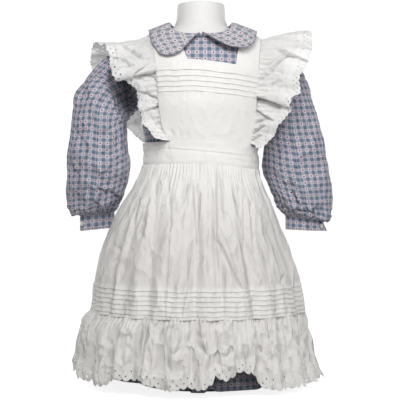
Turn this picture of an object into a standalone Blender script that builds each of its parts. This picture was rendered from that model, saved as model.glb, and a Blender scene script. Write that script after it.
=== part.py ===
"""Child's dirndl dress with a ruffled pinafore, standing on a limbless dress form.

Metres, +Z up. The origin is the centre of the underside of the form's foot plate.
The front faces -Y. Left and right are as seen from the front, so left is at -X.
"""

import bpy
import bmesh
from bisect import bisect_right
from collections import namedtuple
from math import asin, cos, exp, pi, radians, sin

from mathutils import Vector

# ---------------------------------------------------------------- driving sizes
CLOTH = 0.0012
SEAM = 0.0003
BODICE_OFFSET = 0.0025
PINAFORE_OFFSET = 0.0064
FORM_OFFSET = -0.0015
SKIRT_CLOTH = 0.0018
WAISTBAND_OFFSET = 0.0080
LAP_LIFT = 0.0024

FOOT_RADIUS = 0.105
FOOT_THICKNESS = 0.010
POLE_RADIUS = 0.0125
FORM_UNDERSIDE = 0.236
FORM_TOP = 0.624

WAIST_SEAM = 0.372
SIDE_ANGLE = radians(89.8)
ARMHOLE_MIDDLE = 0.5005
ARMHOLE_HALF_HEIGHT = 0.0515
ARMHOLE_BITE = radians(26)
NECK_SIDE = 0.5870
NECK_FRONT_DROP = 0.0200
NECK_BACK_DROP = 0.004

WAISTBAND_TOP = 0.3952
WAISTBAND_HEIGHT = 0.0375
WAISTBAND_DROOP = 0.008
WAISTBAND_HALF_WIDTH = 0.0955
WAISTBAND_BUTTON_ANGLE = pi + 0.07
BIB_SHIFT = 0.016
NECKLINE_HALF_WIDTH = 0.037
NECKLINE_CORNERS = (0.5210, 0.5137)
BIB_TUCKS = 5
BIB_TUCK_LOWEST = 0.4727
BIB_TUCK_SPACING = 0.0082
BIB_TUCK_DROOP = 0.070
TUCKS_LEVEL_TO = -0.02
TUCK_RELIEF = 0.0012

FLOUNCE_SEAM = 0.118
SKIRT_TUCKS = 6
SKIRT_TUCK_LOWEST = 0.1235
SKIRT_TUCK_SPACING = 0.0073
SKIRT_COLUMNS = 60
SKIRT_GATHERS = 15
FLOUNCE_COLUMNS = 108
FLOUNCE_WAVES = 27
HEM_HEIGHT = 0.0125
SCALLOP_DEPTH = 0.0025
DRESS_HEM = 0.013
DRESS_SKIRT_COLUMNS = 36
DRESS_SKIRT_GATHERS = 9
SLEEVE_COLUMNS = 24
CUFF_GATHERS = 6
RUFFLE_COLUMNS = 40
RUFFLE_WAVES = 10
BUTTON_RADIUS = 0.0042
BUTTON_THICKNESS = 0.0018
BACK_BUTTON_HEIGHTS = (0.572, 0.520, 0.468)

# ---------------------------------------------------------------- section tables
TorsoRing = namedtuple("TorsoRing", "height half_width front back")
TORSO = (
    TorsoRing(0.236, 0.0790, 0.0640, 0.0680),
    TorsoRing(0.250, 0.0880, 0.0710, 0.0760),
    TorsoRing(0.300, 0.0900, 0.0720, 0.0760),
    TorsoRing(0.340, 0.0875, 0.0670, 0.0680),
    TorsoRing(0.378, 0.0865, 0.0665, 0.0645),
    TorsoRing(0.420, 0.0935, 0.0740, 0.0690),
    TorsoRing(0.462, 0.1005, 0.0820, 0.0750),
    TorsoRing(0.500, 0.1045, 0.0820, 0.0780),
    TorsoRing(0.530, 0.1075, 0.0730, 0.0740),
    TorsoRing(0.548, 0.1055, 0.0620, 0.0660),
    TorsoRing(0.560, 0.0960, 0.0540, 0.0580),
    TorsoRing(0.570, 0.0800, 0.0485, 0.0525),
    TorsoRing(0.580, 0.0560, 0.0445, 0.0475),
    TorsoRing(0.589, 0.0440, 0.0415, 0.0440),
    TorsoRing(0.598, 0.0408, 0.0395, 0.0410),
    TorsoRing(0.612, 0.0400, 0.0385, 0.0395),
    TorsoRing(0.624, 0.0385, 0.0375, 0.0385),
)

SkirtRing = namedtuple("SkirtRing", "height left right front back")
PINAFORE_SKIRT = (
    SkirtRing(0.118, 0.1840, 0.1735, 0.1700, 0.1720),
    SkirtRing(0.134, 0.1810, 0.1710, 0.1680, 0.1700),
    SkirtRing(0.161, 0.1780, 0.1660, 0.1630, 0.1650),
    SkirtRing(0.187, 0.1730, 0.1590, 0.1570, 0.1580),
    SkirtRing(0.214, 0.1660, 0.1480, 0.1480, 0.1490),
    SkirtRing(0.240, 0.1575, 0.1380, 0.1380, 0.1380),
    SkirtRing(0.267, 0.1450, 0.1280, 0.1260, 0.1260),
    SkirtRing(0.293, 0.1305, 0.1175, 0.1130, 0.1130),
    SkirtRing(0.320, 0.1150, 0.1065, 0.0980, 0.0970),
    SkirtRing(0.340, 0.1035, 0.0985, 0.0850, 0.0840),
    SkirtRing(0.360, 0.0970, 0.0965, 0.0765, 0.0750),
)
FLOUNCE = (
    SkirtRing(0.010, 0.2085, 0.2030, 0.1930, 0.1940),
    SkirtRing(0.028, 0.2125, 0.1940, 0.1890, 0.1910),
    SkirtRing(0.054, 0.2090, 0.1860, 0.1850, 0.1870),
    SkirtRing(0.081, 0.2060, 0.1815, 0.1815, 0.1830),
    SkirtRing(0.100, 0.2005, 0.1775, 0.1775, 0.1790),
    SkirtRing(0.110, 0.1940, 0.1755, 0.1740, 0.1755),
    SkirtRing(0.118, 0.1850, 0.1740, 0.1705, 0.1725),
)
DRESS_SKIRT = (
    SkirtRing(0.012, 0.1760, 0.1660, 0.1620, 0.1640),
    SkirtRing(0.118, 0.1625, 0.1520, 0.1485, 0.1505),
    SkirtRing(0.187, 0.1520, 0.1385, 0.1365, 0.1375),
    SkirtRing(0.240, 0.1380, 0.1185, 0.1175, 0.1175),
    SkirtRing(0.293, 0.1150, 0.1030, 0.0980, 0.0980),
    SkirtRing(0.330, 0.0975, 0.0945, 0.0805, 0.0795),
    SkirtRing(0.360, 0.0915, 0.0915, 0.0715, 0.0700),
    SkirtRing(0.372, 0.0910, 0.0910, 0.0710, 0.0690),
)

HemPoint = namedtuple("HemPoint", "angle height")
HEM = (
    HemPoint(-180, 0.0140),
    HemPoint(-140, 0.0180),
    HemPoint(-110, 0.0140),
    HemPoint(-90, 0.0245),
    HemPoint(-72, 0.0180),
    HemPoint(-54, 0.0115),
    HemPoint(-47, 0.0140),
    HemPoint(-40, 0.0265),
    HemPoint(-27, 0.0260),
    HemPoint(-22, 0.0190),
    HemPoint(-13, 0.0145),
    HemPoint(-6, 0.0185),
    HemPoint(-2, 0.0165),
    HemPoint(5, 0.0240),
    HemPoint(7, 0.0340),
    HemPoint(11, 0.0290),
    HemPoint(15, 0.0350),
    HemPoint(18, 0.0405),
    HemPoint(25, 0.0370),
    HemPoint(29, 0.0200),
    HemPoint(34, 0.0115),
    HemPoint(64, 0.0110),
    HemPoint(78, 0.0115),
    HemPoint(100, 0.0200),
    HemPoint(140, 0.0130),
    HemPoint(180, 0.0140),
)

Fold = namedtuple("Fold", "angle width depth top")
SKIRT_FOLDS = (
    Fold(-150, 5, 0.009, 0.30),
    Fold(-128, 6, 0.010, 0.27),
    Fold(-106, 5, 0.007, 0.24),
    Fold(-78, 5, 0.006, 0.28),
    Fold(-57, 5, 0.009, 0.31),
    Fold(-43, 5, 0.006, 0.24),
    Fold(-28, 4, 0.011, 0.33),
    Fold(-17, 4, 0.007, 0.25),
    Fold(-3, 4, 0.012, 0.34),
    Fold(10, 4, 0.009, 0.29),
    Fold(31, 5, 0.012, 0.29),
    Fold(47, 5, 0.007, 0.22),
    Fold(66, 6, 0.006, 0.30),
    Fold(101, 5, 0.006, 0.26),
    Fold(118, 5, 0.009, 0.30),
    Fold(134, 6, 0.008, 0.25),
    Fold(156, 5, 0.011, 0.31),
    Fold(178, 4, 0.006, 0.33),
)

SleeveRing = namedtuple("SleeveRing", "outer_x outer_z inner_x inner_z middle_y half_depth")
SLEEVE_RINGS = {
    "left": (
        SleeveRing(0.2075, 0.2762, 0.1465, 0.2808, 0.048, 0.021),
        SleeveRing(0.2205, 0.2735, 0.1430, 0.2840, 0.045, 0.030),
        SleeveRing(0.2255, 0.2820, 0.1380, 0.2900, 0.041, 0.037),
        SleeveRing(0.2270, 0.3050, 0.1290, 0.3080, 0.030, 0.043),
        SleeveRing(0.2245, 0.3600, 0.1190, 0.3550, 0.012, 0.044),
        SleeveRing(0.2165, 0.4150, 0.1215, 0.3950, 0.003, 0.043),
        SleeveRing(0.2100, 0.4670, 0.1230, 0.4230, 0.000, 0.043),
        SleeveRing(0.1900, 0.5020, 0.1200, 0.4370, 0.000, 0.042),
        SleeveRing(0.1600, 0.5330, 0.1165, 0.4430, 0.000, 0.041),
        SleeveRing(0.1340, 0.5500, 0.1135, 0.4470, 0.001, 0.038),
        SleeveRing(0.1180, 0.5535, 0.1110, 0.4510, 0.001, 0.034),
    ),
    "right": (
        SleeveRing(0.2030, 0.2680, 0.1415, 0.2770, 0.030, 0.021),
        SleeveRing(0.2170, 0.2640, 0.1345, 0.2790, 0.028, 0.030),
        SleeveRing(0.2205, 0.2730, 0.1300, 0.2840, 0.026, 0.037),
        SleeveRing(0.2190, 0.3020, 0.1215, 0.3020, 0.022, 0.043),
        SleeveRing(0.2085, 0.3850, 0.1045, 0.3480, 0.010, 0.044),
        SleeveRing(0.1935, 0.4360, 0.1040, 0.3800, 0.004, 0.043),
        SleeveRing(0.1810, 0.4800, 0.1085, 0.4080, 0.001, 0.043),
        SleeveRing(0.1690, 0.5110, 0.1120, 0.4280, 0.000, 0.042),
        SleeveRing(0.1500, 0.5350, 0.1135, 0.4400, 0.000, 0.040),
        SleeveRing(0.1310, 0.5490, 0.1125, 0.4465, 0.001, 0.037),
        SleeveRing(0.1170, 0.5535, 0.1105, 0.4510, 0.001, 0.033),
    ),
}

# Depth of the gathers at the first sleeve rings, as a share of the half width.
SLEEVE_GATHERS = (0.04, 0.09, 0.12, 0.08, 0.03)

Cuff = namedtuple("Cuff", "outer_x inner_x middle_y half_depth top_outer top_inner bottom_outer bottom_inner")
CUFFS = {
    "left": Cuff(0.2055, 0.1470, 0.048, 0.020, 0.2735, 0.2795, 0.2472, 0.2532),
    "right": Cuff(0.2005, 0.1420, 0.030, 0.020, 0.2655, 0.2755, 0.2480, 0.2505),
}
CUFF_LAPPED_END = {"left": radians(-64), "right": radians(76)}
CUFF_FLARE = {"left": 0.0, "right": 0.0025}
CUFF_OVERLAP = radians(40)

# Stations run from the front waist over the shoulder to the back waist. Each says where the
# seam lies on the torso and where the free edge hangs. Over the shoulder the seam's height
# follows the torso.
Ruffle = namedtuple("Ruffle", "seam_x seam_height edge_x edge_y edge_z wave")
RUFFLES = {
    "left": (
        Ruffle(-0.045, 0.3965, -0.062, -0.0790, 0.3990, 0.001),
        Ruffle(-0.060, 0.4250, -0.088, -0.0740, 0.4190, 0.003),
        Ruffle(-0.064, 0.4550, -0.101, -0.0640, 0.4500, 0.003),
        Ruffle(-0.066, 0.4850, -0.106, -0.0620, 0.4800, 0.004),
        Ruffle(-0.070, 0.5150, -0.140, -0.0780, 0.4920, 0.006),
        Ruffle(-0.078, None, -0.150, -0.0520, 0.5300, 0.006),
        Ruffle(-0.084, None, -0.163, -0.0040, 0.5590, 0.005),
        Ruffle(-0.080, None, -0.186, 0.0480, 0.5520, 0.006),
        Ruffle(-0.074, 0.5150, -0.192, 0.0780, 0.5170, 0.007),
        Ruffle(-0.070, 0.4850, -0.168, 0.0950, 0.4800, 0.006),
        Ruffle(-0.066, 0.4550, -0.145, 0.0880, 0.4470, 0.005),
        Ruffle(-0.060, 0.4250, -0.122, 0.0770, 0.4180, 0.003),
        Ruffle(-0.050, 0.3965, -0.100, 0.0660, 0.4000, 0.001),
    ),
    "right": (
        Ruffle(0.074, 0.3935, 0.090, -0.0700, 0.3850, 0.001),
        Ruffle(0.080, 0.4200, 0.118, -0.0820, 0.4110, 0.003),
        Ruffle(0.084, 0.4500, 0.141, -0.0860, 0.4440, 0.005),
        Ruffle(0.086, 0.4800, 0.156, -0.0820, 0.4720, 0.006),
        Ruffle(0.088, 0.5100, 0.163, -0.0720, 0.5060, 0.006),
        Ruffle(0.092, None, 0.179, -0.0500, 0.5380, 0.006),
        Ruffle(0.096, None, 0.183, 0.0000, 0.5740, 0.005),
        Ruffle(0.092, None, 0.168, 0.0500, 0.5450, 0.006),
        Ruffle(0.086, 0.5100, 0.158, 0.0800, 0.5050, 0.006),
        Ruffle(0.082, 0.4800, 0.148, 0.0900, 0.4720, 0.005),
        Ruffle(0.078, 0.4500, 0.132, 0.0880, 0.4430, 0.004),
        Ruffle(0.070, 0.4200, 0.112, 0.0800, 0.4140, 0.003),
        Ruffle(0.060, 0.3965, 0.082, 0.0700, 0.3960, 0.001),
    ),
}

BackStrap = namedtuple("BackStrap", "waist_x chest_x ridge_x")
BACK_STRAPS = {
    "left": BackStrap(-0.018, -0.026, -0.058),
    "right": BackStrap(0.022, 0.030, 0.065),
}

CollarEdge = namedtuple("CollarEdge", "angle height")
COLLAR_FRONTS = {
    "left": (
        CollarEdge(3, 0.5600),
        CollarEdge(8, 0.5490),
        CollarEdge(14, 0.5350),
        CollarEdge(20, 0.5280),
        CollarEdge(27, 0.5258),
        CollarEdge(34, 0.5300),
        CollarEdge(41, 0.5430),
        CollarEdge(52, 0.5605),
        CollarEdge(68, 0.5685),
        CollarEdge(88, 0.5715),
    ),
    "right": (
        CollarEdge(3, 0.5605),
        CollarEdge(8, 0.5520),
        CollarEdge(15, 0.5435),
        CollarEdge(24, 0.5380),
        CollarEdge(33, 0.5372),
        CollarEdge(41, 0.5420),
        CollarEdge(49, 0.5520),
        CollarEdge(59, 0.5600),
        CollarEdge(72, 0.5655),
        CollarEdge(88, 0.5680),
    ),
}
COLLAR_BACK = (
    CollarEdge(106, 0.5725),
    CollarEdge(121, 0.5710),
    CollarEdge(135, 0.5630),
    CollarEdge(150, 0.5500),
    CollarEdge(163, 0.5450),
    CollarEdge(171, 0.5520),
    CollarEdge(177, 0.5710),
)

CollarRow = namedtuple("CollarRow", "share offset rise")
COLLAR_ROWS = (
    CollarRow(1.00, 0.0118, 0.0),
    CollarRow(0.62, 0.0112, 0.0),
    CollarRow(0.28, 0.0108, 0.0010),
    CollarRow(0.05, 0.0076, 0.0040),
    CollarRow(0.00, 0.0030, 0.0022),
)

MATERIALS = {
    "print_cotton": ((0.33, 0.35, 0.46), 0.85, 0.0),
    "white_cotton": ((0.80, 0.79, 0.77), 0.85, 0.0),
    "shell_button": ((0.78, 0.76, 0.70), 0.35, 0.0),
    "form_shell": ((0.80, 0.79, 0.76), 0.55, 0.0),
    "stand_metal": ((0.62, 0.62, 0.63), 0.35, 1.0),
}


# ---------------------------------------------------------------- scene and materials
def clear_scene():
    """Removes every object that the scene starts with."""
    for old in list(bpy.data.objects):
        bpy.data.objects.remove(old, do_unlink=True)


def make_materials():
    """Makes one Principled material for each finish."""
    made = {}
    for name, (colour, roughness, metallic) in MATERIALS.items():
        material = bpy.data.materials.new(name)
        material.use_nodes = True
        shader = material.node_tree.nodes["Principled BSDF"]
        shader.inputs["Base Color"].default_value = (*colour, 1.0)
        shader.inputs["Roughness"].default_value = roughness
        shader.inputs["Metallic"].default_value = metallic
        made[name] = material
    return made


def add_object(name, mesh, finish):
    """Puts a mesh in the garment's collection under its piece's name, with its own finish."""
    mesh.materials.append(FINISHES[finish].copy())
    mesh.shade_smooth()
    made = bpy.data.objects.new(name, mesh)
    GARMENT.objects.link(made)
    return made


# ---------------------------------------------------------------- reading the tables
def knot_slope(places, values, knot):
    """Slope of the smooth curve at one knot; flat at a peak, so the curve never overshoots."""
    secants = []
    if knot > 0:
        secants.append((values[knot] - values[knot - 1]) / (places[knot] - places[knot - 1]))
    if knot < len(places) - 1:
        secants.append((values[knot + 1] - values[knot]) / (places[knot + 1] - places[knot]))
    if len(secants) == 1:
        return secants[0]
    if secants[0] * secants[1] <= 0.0:
        return 0.0
    return 2.0 * secants[0] * secants[1] / (secants[0] + secants[1])


def smooth_curve(places, values, place):
    """Value at a place on the smooth curve through the knots, which go up in place."""
    place = min(max(place, places[0]), places[-1])
    knot = min(bisect_right(places, place), len(places) - 1) - 1
    span = places[knot + 1] - places[knot]
    along = (place - places[knot]) / span
    start_slope = knot_slope(places, values, knot) * span
    end_slope = knot_slope(places, values, knot + 1) * span
    rise = 3.0 * along**2 - 2.0 * along**3
    start_share = along**3 - 2.0 * along**2 + along
    end_share = along**3 - along**2
    ends = values[knot] * (1.0 - rise) + values[knot + 1] * rise
    return ends + start_slope * start_share + end_slope * end_share


def read_table(rows, field, height):
    """Reads one column of a section table at a height."""
    return smooth_curve([row.height for row in rows], [getattr(row, field) for row in rows], height)


def read_stations(rows, field, along):
    """Reads one column of a list of stations, numbered from 0, at a place along it."""
    return smooth_curve(list(range(len(rows))), [getattr(row, field) for row in rows], along)


# ---------------------------------------------------------------- torso surface
def torso_base(angle, height):
    """Point on the bare torso, at an angle from centre front towards +X."""
    half_width = read_table(TORSO, "half_width", height)
    depth = read_table(TORSO, "front" if cos(angle) > 0.0 else "back", height)
    return Vector((half_width * sin(angle), -depth * cos(angle), height))


def torso_point(angle, height, offset):
    """Point moved out from the torso by an offset along the torso's normal."""
    step = 0.004
    around = torso_base(angle + step, height) - torso_base(angle - step, height)
    up = torso_base(angle, height + step / 2) - torso_base(angle, height - step / 2)
    return torso_base(angle, height) + around.cross(up).normalized() * offset


def ridge_height(x):
    """Height at which the shoulder ridge is at a given distance from the middle."""
    low, high = 0.548, 0.612
    for _ in range(30):
        middle = (low + high) / 2
        if read_table(TORSO, "half_width", middle) > abs(x):
            low = middle
        else:
            high = middle
    return low


def torso_at(x, height, offset, back=False):
    """Point on a torso layer at a distance from the middle and a height."""
    half_width = read_table(TORSO, "half_width", height)
    angle = asin(min(max(x / half_width, -1.0), 1.0))
    return torso_point(pi - angle if back else angle, height, offset)


def neck_height(angle):
    """Height of the neckline seam at an angle from centre front."""
    facing = cos(angle)
    drop = NECK_FRONT_DROP if facing > 0.0 else NECK_BACK_DROP
    return NECK_SIDE - drop * abs(facing) ** 1.5


def armhole_angle(height):
    """Angle of the panel's edge from its centre line, along side seam, armhole and shoulder."""
    level = (height - ARMHOLE_MIDDLE) / ARMHOLE_HALF_HEIGHT
    if abs(level) >= 1.0:
        return SIDE_ANGLE
    return SIDE_ANGLE - ARMHOLE_BITE * (1.0 - level**2) ** 0.45


# ---------------------------------------------------------------- cloth from grids
def grid_mesh(name, rows, wrap=False, skip=None):
    """Makes an open surface from rows of points, upwards and round towards +X.

    wrap joins each row's end to its start. skip(row, column) leaves a cell out.
    """
    mesh = bpy.data.meshes.new(name)
    shell = bmesh.new()
    grid = [[shell.verts.new(point) for point in row] for row in rows]
    columns = len(rows[0])
    for j in range(len(rows) - 1):
        for i in range(columns if wrap else columns - 1):
            if skip and skip(j, i):
                continue
            k = (i + 1) % columns
            shell.faces.new((grid[j][i], grid[j][k], grid[j + 1][k], grid[j + 1][i]))
    loose = [vertex for vertex in shell.verts if not vertex.link_faces]
    bmesh.ops.delete(shell, geom=loose, context="VERTS")
    shell.to_mesh(mesh)
    shell.free()
    return mesh


def cloth(name, rows, finish, thickness=CLOTH, offset=1.0, wrap=False, skip=None, raised=()):
    """Makes a cloth piece from a grid by thickening it, outwards unless offset says otherwise.

    raised lists the full rows whose outer points stand out by the relief of a tuck.
    """
    made = add_object(name, grid_mesh(name, rows, wrap, skip), finish)
    wall = made.modifiers.new("wall", "SOLIDIFY")
    wall.thickness = thickness
    wall.offset = offset
    if raised:
        tucks = made.vertex_groups.new(name="tucks")
        tucks.add([j * len(rows[j]) + i for j in raised for i in range(len(rows[j]))], 1.0, "REPLACE")
        wall.thickness = thickness + TUCK_RELIEF
        wall.vertex_group = "tucks"
        wall.thickness_vertex_group = thickness / (thickness + TUCK_RELIEF)
    return made


def tube_wall(name, outer_rings, inner_rings, finish):
    """Makes a closed tube wall from its outer rings, going up, and its inner rings, going up."""
    mesh = bpy.data.meshes.new(name)
    shell = bmesh.new()
    loop = [
        [shell.verts.new(point) for point in ring] for ring in outer_rings + inner_rings[::-1]
    ]
    columns = len(loop[0])
    for j, ring in enumerate(loop):
        above = loop[(j + 1) % len(loop)]
        for i in range(columns):
            k = (i + 1) % columns
            shell.faces.new((ring[i], ring[k], above[k], above[i]))
    shell.to_mesh(mesh)
    shell.free()
    return add_object(name, mesh, finish)


def adopt(name, finish):
    """Names the primitive just added, gives it its finish and moves it to the collection."""
    made = bpy.context.object
    made.name = name
    made.data.name = name
    made.data.materials.append(FINISHES[finish].copy())
    made.data.shade_smooth()
    made.data.set_sharp_from_angle(angle=radians(40))
    for holder in list(made.users_collection):
        holder.objects.unlink(made)
    GARMENT.objects.link(made)
    return made


def button(name, seat, normal):
    """Builds a flat shell button just clear of the cloth that it is sewn to."""
    bpy.ops.mesh.primitive_cylinder_add(
        vertices=14,
        radius=BUTTON_RADIUS,
        depth=BUTTON_THICKNESS,
        location=seat + normal * (SEAM + BUTTON_THICKNESS / 2),
        rotation=normal.to_track_quat("Z", "Y").to_euler(),
    )
    return adopt(name, "shell_button")


# ---------------------------------------------------------------- dress form
FORM_SIDES = 32
CAP_ROUNDING = 0.0025
CAP_SHARE = 0.94


def build_form():
    """Builds the limbless torso with its neck, the pole and the foot plate."""
    around = [2 * pi * i / FORM_SIDES for i in range(FORM_SIDES)]
    rows = [
        [torso_point(angle, ring.height, FORM_OFFSET if ring.height < NECK_SIDE else 0.0) for angle in around]
        for ring in TORSO[:-1]
    ]
    rows.append([torso_base(angle, FORM_TOP - CAP_ROUNDING) for angle in around])
    rows.append([torso_base(angle, FORM_TOP) * CAP_SHARE for angle in around])
    rows[0] = [Vector((point.x, point.y, FORM_UNDERSIDE)) for point in rows[0]]
    rows[-1] = [Vector((point.x, point.y, FORM_TOP)) for point in rows[-1]]
    mesh = grid_mesh("form_torso", rows, wrap=True)
    shell = bmesh.new()
    shell.from_mesh(mesh)
    bmesh.ops.holes_fill(shell, edges=[edge for edge in shell.edges if edge.is_boundary], sides=0)
    bmesh.ops.recalc_face_normals(shell, faces=shell.faces)
    shell.to_mesh(mesh)
    shell.free()
    mesh.set_sharp_from_angle(angle=radians(50))
    add_object("form_torso", mesh, "form_shell")

    bpy.ops.mesh.primitive_cylinder_add(
        vertices=20,
        radius=POLE_RADIUS,
        depth=FORM_UNDERSIDE - FOOT_THICKNESS - 2 * SEAM,
        location=(0, 0, (FORM_UNDERSIDE + FOOT_THICKNESS) / 2),
    )
    adopt("form_pole", "stand_metal")

    bpy.ops.mesh.primitive_cylinder_add(
        vertices=32, radius=FOOT_RADIUS, depth=FOOT_THICKNESS, location=(0, 0, FOOT_THICKNESS / 2)
    )
    foot = adopt("form_foot", "stand_metal")
    rounding = foot.modifiers.new("rounding", "BEVEL")
    rounding.width = 0.002
    rounding.segments = 1
    rounding.limit_method = "ANGLE"


# ---------------------------------------------------------------- dress bodice
BODICE_LEVELS = (0.0, 0.13, 0.26, 0.355, 0.44, 0.53, 0.62, 0.71, 0.80, 0.865, 0.93, 1.0)
FRONT_COLUMNS = 16
BACK_COLUMNS = 8
BACK_LAP = 0.035


def panel_height(angle, level):
    """Height at a level of a bodice panel, from 0 at the waist seam to 1 at the top."""
    bottom = WAIST_SEAM + 2 * SEAM
    return bottom + (neck_height(angle) - bottom) * level


def build_bodice_front():
    """Builds the front: side seams, armholes, shoulder seams and the neckline."""
    rows = []
    for level in BODICE_LEVELS:
        row = []
        for i in range(FRONT_COLUMNS + 1):
            share = 2 * i / FRONT_COLUMNS - 1
            height = panel_height(share * SIDE_ANGLE, level)
            row.append(torso_point(share * armhole_angle(height), height, BODICE_OFFSET))
        rows.append(row)
    cloth("bodice_front", rows, "print_cotton")


def build_bodice_back(side):
    """Builds one half of the back. The right half laps over the left at centre back."""
    sign = 1 if side == "right" else -1
    rows = []
    for level in BODICE_LEVELS:
        row = []
        for i in range(BACK_COLUMNS + 1):
            share = 1 - (1 + BACK_LAP) * i / BACK_COLUMNS
            height = panel_height(pi - sign * share * SIDE_ANGLE, level)
            lift = LAP_LIFT * min(max((0.15 - share) / 0.09, 0.0), 1.0) if side == "right" else 0.0
            angle = pi - sign * share * armhole_angle(height)
            row.append(torso_point(angle, height, BODICE_OFFSET + lift))
        rows.append(row if side == "right" else row[::-1])
    cloth(f"bodice_back_{side}", rows, "print_cotton")


def build_back_buttons():
    """Builds the dress's buttons down centre back."""
    for number, height in enumerate(BACK_BUTTON_HEIGHTS):
        seat = torso_point(pi, height, BODICE_OFFSET + LAP_LIFT + CLOTH)
        normal = (torso_point(pi, height, 0.01) - torso_point(pi, height, 0.0)).normalized()
        button(f"back_button_{number + 1}", seat, normal)


# ---------------------------------------------------------------- skirts
def skirt_point(table, angle, height, inset):
    """Point on a skirt's outline, moved in towards the middle by an inset."""
    across = read_table(table, "right" if sin(angle) > 0.0 else "left", height)
    depth = read_table(table, "front" if cos(angle) > 0.0 else "back", height)
    outline = Vector((across * sin(angle), -depth * cos(angle), 0.0))
    return outline * (1.0 - inset / outline.length) + Vector((0, 0, height))


def wave(angle, count):
    """Depth of a run of even gathers at an angle, from 0 on a crest to 1 in a trough."""
    return (1.0 - cos(count * angle)) / 2


def fold_inset(angle, height):
    """Depth of the skirt's broad folds at an angle and height."""
    total = 0.0
    for fold in SKIRT_FOLDS:
        away = (angle - radians(fold.angle) + pi) % (2 * pi) - pi
        started = min(max((fold.top - height) / 0.09, 0.0), 1.0)
        total += fold.depth * started * exp(-((away / radians(fold.width)) ** 2))
    return total


def band_top(x):
    """Height of the waistband's upper edge, which droops towards +X."""
    share = min(max(x / WAISTBAND_HALF_WIDTH, 0.0), 1.0)
    return WAISTBAND_TOP - WAISTBAND_DROOP * share**2 * (3 - 2 * share)


SKIRT_LEVELS = (0.0, 0.06, 0.18, 0.34, 0.52, 0.76)
SKIRT_GATHER_DEPTH = 0.0018
GATHERS_FADE_FROM = 0.35
GATHERS_FADE_OVER = 0.15
GATHERS_LEFT_BELOW = 0.3
TUCK_EDGE = 0.0007


def build_pinafore_skirt():
    """Builds the gathered skirt from the waistband to the flounce, with its raised tucks."""
    angles = [2 * pi * i / SKIRT_COLUMNS for i in range(SKIRT_COLUMNS)]
    lowest = FLOUNCE_SEAM + SEAM / 2
    tucks_end = SKIRT_TUCK_LOWEST + SKIRT_TUCK_SPACING * SKIRT_TUCKS

    def ring(level, inset, height=None):
        points = []
        for angle in angles:
            top = band_top(WAISTBAND_HALF_WIDTH * sin(angle)) - WAISTBAND_HEIGHT - 2 * SEAM
            at = height if height else top + (tucks_end - top) * level
            faded = min(max((GATHERS_FADE_FROM - at) / GATHERS_FADE_OVER, 0.0), 1.0)
            kept = 1.0 - (1.0 - GATHERS_LEFT_BELOW) * faded
            gathered = SKIRT_GATHER_DEPTH * kept * wave(angle, SKIRT_GATHERS)
            points.append(skirt_point(PINAFORE_SKIRT, angle, at, fold_inset(angle, at) + gathered + inset))
        return points

    outer = [ring(0, 0.0, lowest)]
    for tuck in range(SKIRT_TUCKS):
        edge = SKIRT_TUCK_LOWEST + SKIRT_TUCK_SPACING * tuck
        outer.append(ring(0, 0.0, edge - TUCK_EDGE))
        outer.append(ring(0, -TUCK_RELIEF, edge))
    outer.append(ring(0, 0.0, tucks_end))
    outer += [ring(level, 0.0) for level in SKIRT_LEVELS[:0:-1]] + [ring(0.0, 0.0)]
    inner = [ring(0, SKIRT_CLOTH, lowest), ring(0, SKIRT_CLOTH, tucks_end)]
    inner += [ring(level, SKIRT_CLOTH) for level in SKIRT_LEVELS[:0:-1]] + [ring(0.0, SKIRT_CLOTH)]
    tube_wall("pinafore_skirt", outer, inner, "white_cotton")


FLOUNCE_LEVELS = (0.0, 0.14, 0.42, 0.72, 1.0)
FLOUNCE_GATHER_DEPTH = 0.0020
FLOUNCE_HEM_WAVE = 0.0075
FLOUNCE_UNEVENNESS = 0.05
FOLDS_LOST_AT_HEM = 0.45


def build_flounce():
    """Builds the gathered flounce with its scalloped hem."""
    angles = [2 * pi * i / FLOUNCE_COLUMNS for i in range(FLOUNCE_COLUMNS)]
    hem_angles = [radians(point.angle) for point in HEM]
    hem_heights = [point.height for point in HEM]

    def ring(level, inset):
        points = []
        for number, angle in enumerate(angles):
            turned = (angle + pi) % (2 * pi) - pi
            hem = smooth_curve(hem_angles, hem_heights, turned) + SCALLOP_DEPTH * (number % 2)
            height = FLOUNCE_SEAM - SEAM / 2
            height += (hem - height) * level
            shifted = angle + FLOUNCE_UNEVENNESS * sin(3 * angle) * level
            depth = FLOUNCE_GATHER_DEPTH + FLOUNCE_HEM_WAVE * level
            folds = fold_inset(angle, FLOUNCE_SEAM) * (1.0 - FOLDS_LOST_AT_HEM * level)
            moved_in = depth * wave(shifted, FLOUNCE_WAVES) + folds + inset
            points.append(skirt_point(FLOUNCE, angle, height, moved_in))
        return points

    outer = [ring(level, 0.0) for level in FLOUNCE_LEVELS[::-1]]
    inner = [ring(level, SKIRT_CLOTH) for level in FLOUNCE_LEVELS[::-1]]
    tube_wall("flounce", outer, inner, "white_cotton")


DRESS_SKIRT_LEVELS = (0.0, 0.06, 0.20, 0.48, 1.0)
DRESS_GATHER_DEPTH = 0.0010
DRESS_HEM_WAVE = 0.0040


def build_dress_skirt():
    """Builds the dress's own gathered skirt, under the pinafore."""
    angles = [2 * pi * i / DRESS_SKIRT_COLUMNS for i in range(DRESS_SKIRT_COLUMNS)]

    def ring(level, inset):
        height = WAIST_SEAM + (DRESS_HEM - WAIST_SEAM) * level
        depth = DRESS_GATHER_DEPTH + DRESS_HEM_WAVE * level
        return [
            skirt_point(DRESS_SKIRT, angle, height, depth * wave(angle, DRESS_SKIRT_GATHERS) + inset)
            for angle in angles
        ]

    outer = [ring(level, 0.0) for level in DRESS_SKIRT_LEVELS[::-1]]
    inner = [ring(level, SKIRT_CLOTH) for level in DRESS_SKIRT_LEVELS[::-1]]
    tube_wall("dress_skirt", outer, inner, "print_cotton")


# ---------------------------------------------------------------- sleeves and cuffs
SLEEVE_CLEARANCE = 0.0010
SLEEVE_CLEARANCE_ANGLE = SLEEVE_CLEARANCE / 0.07


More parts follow.
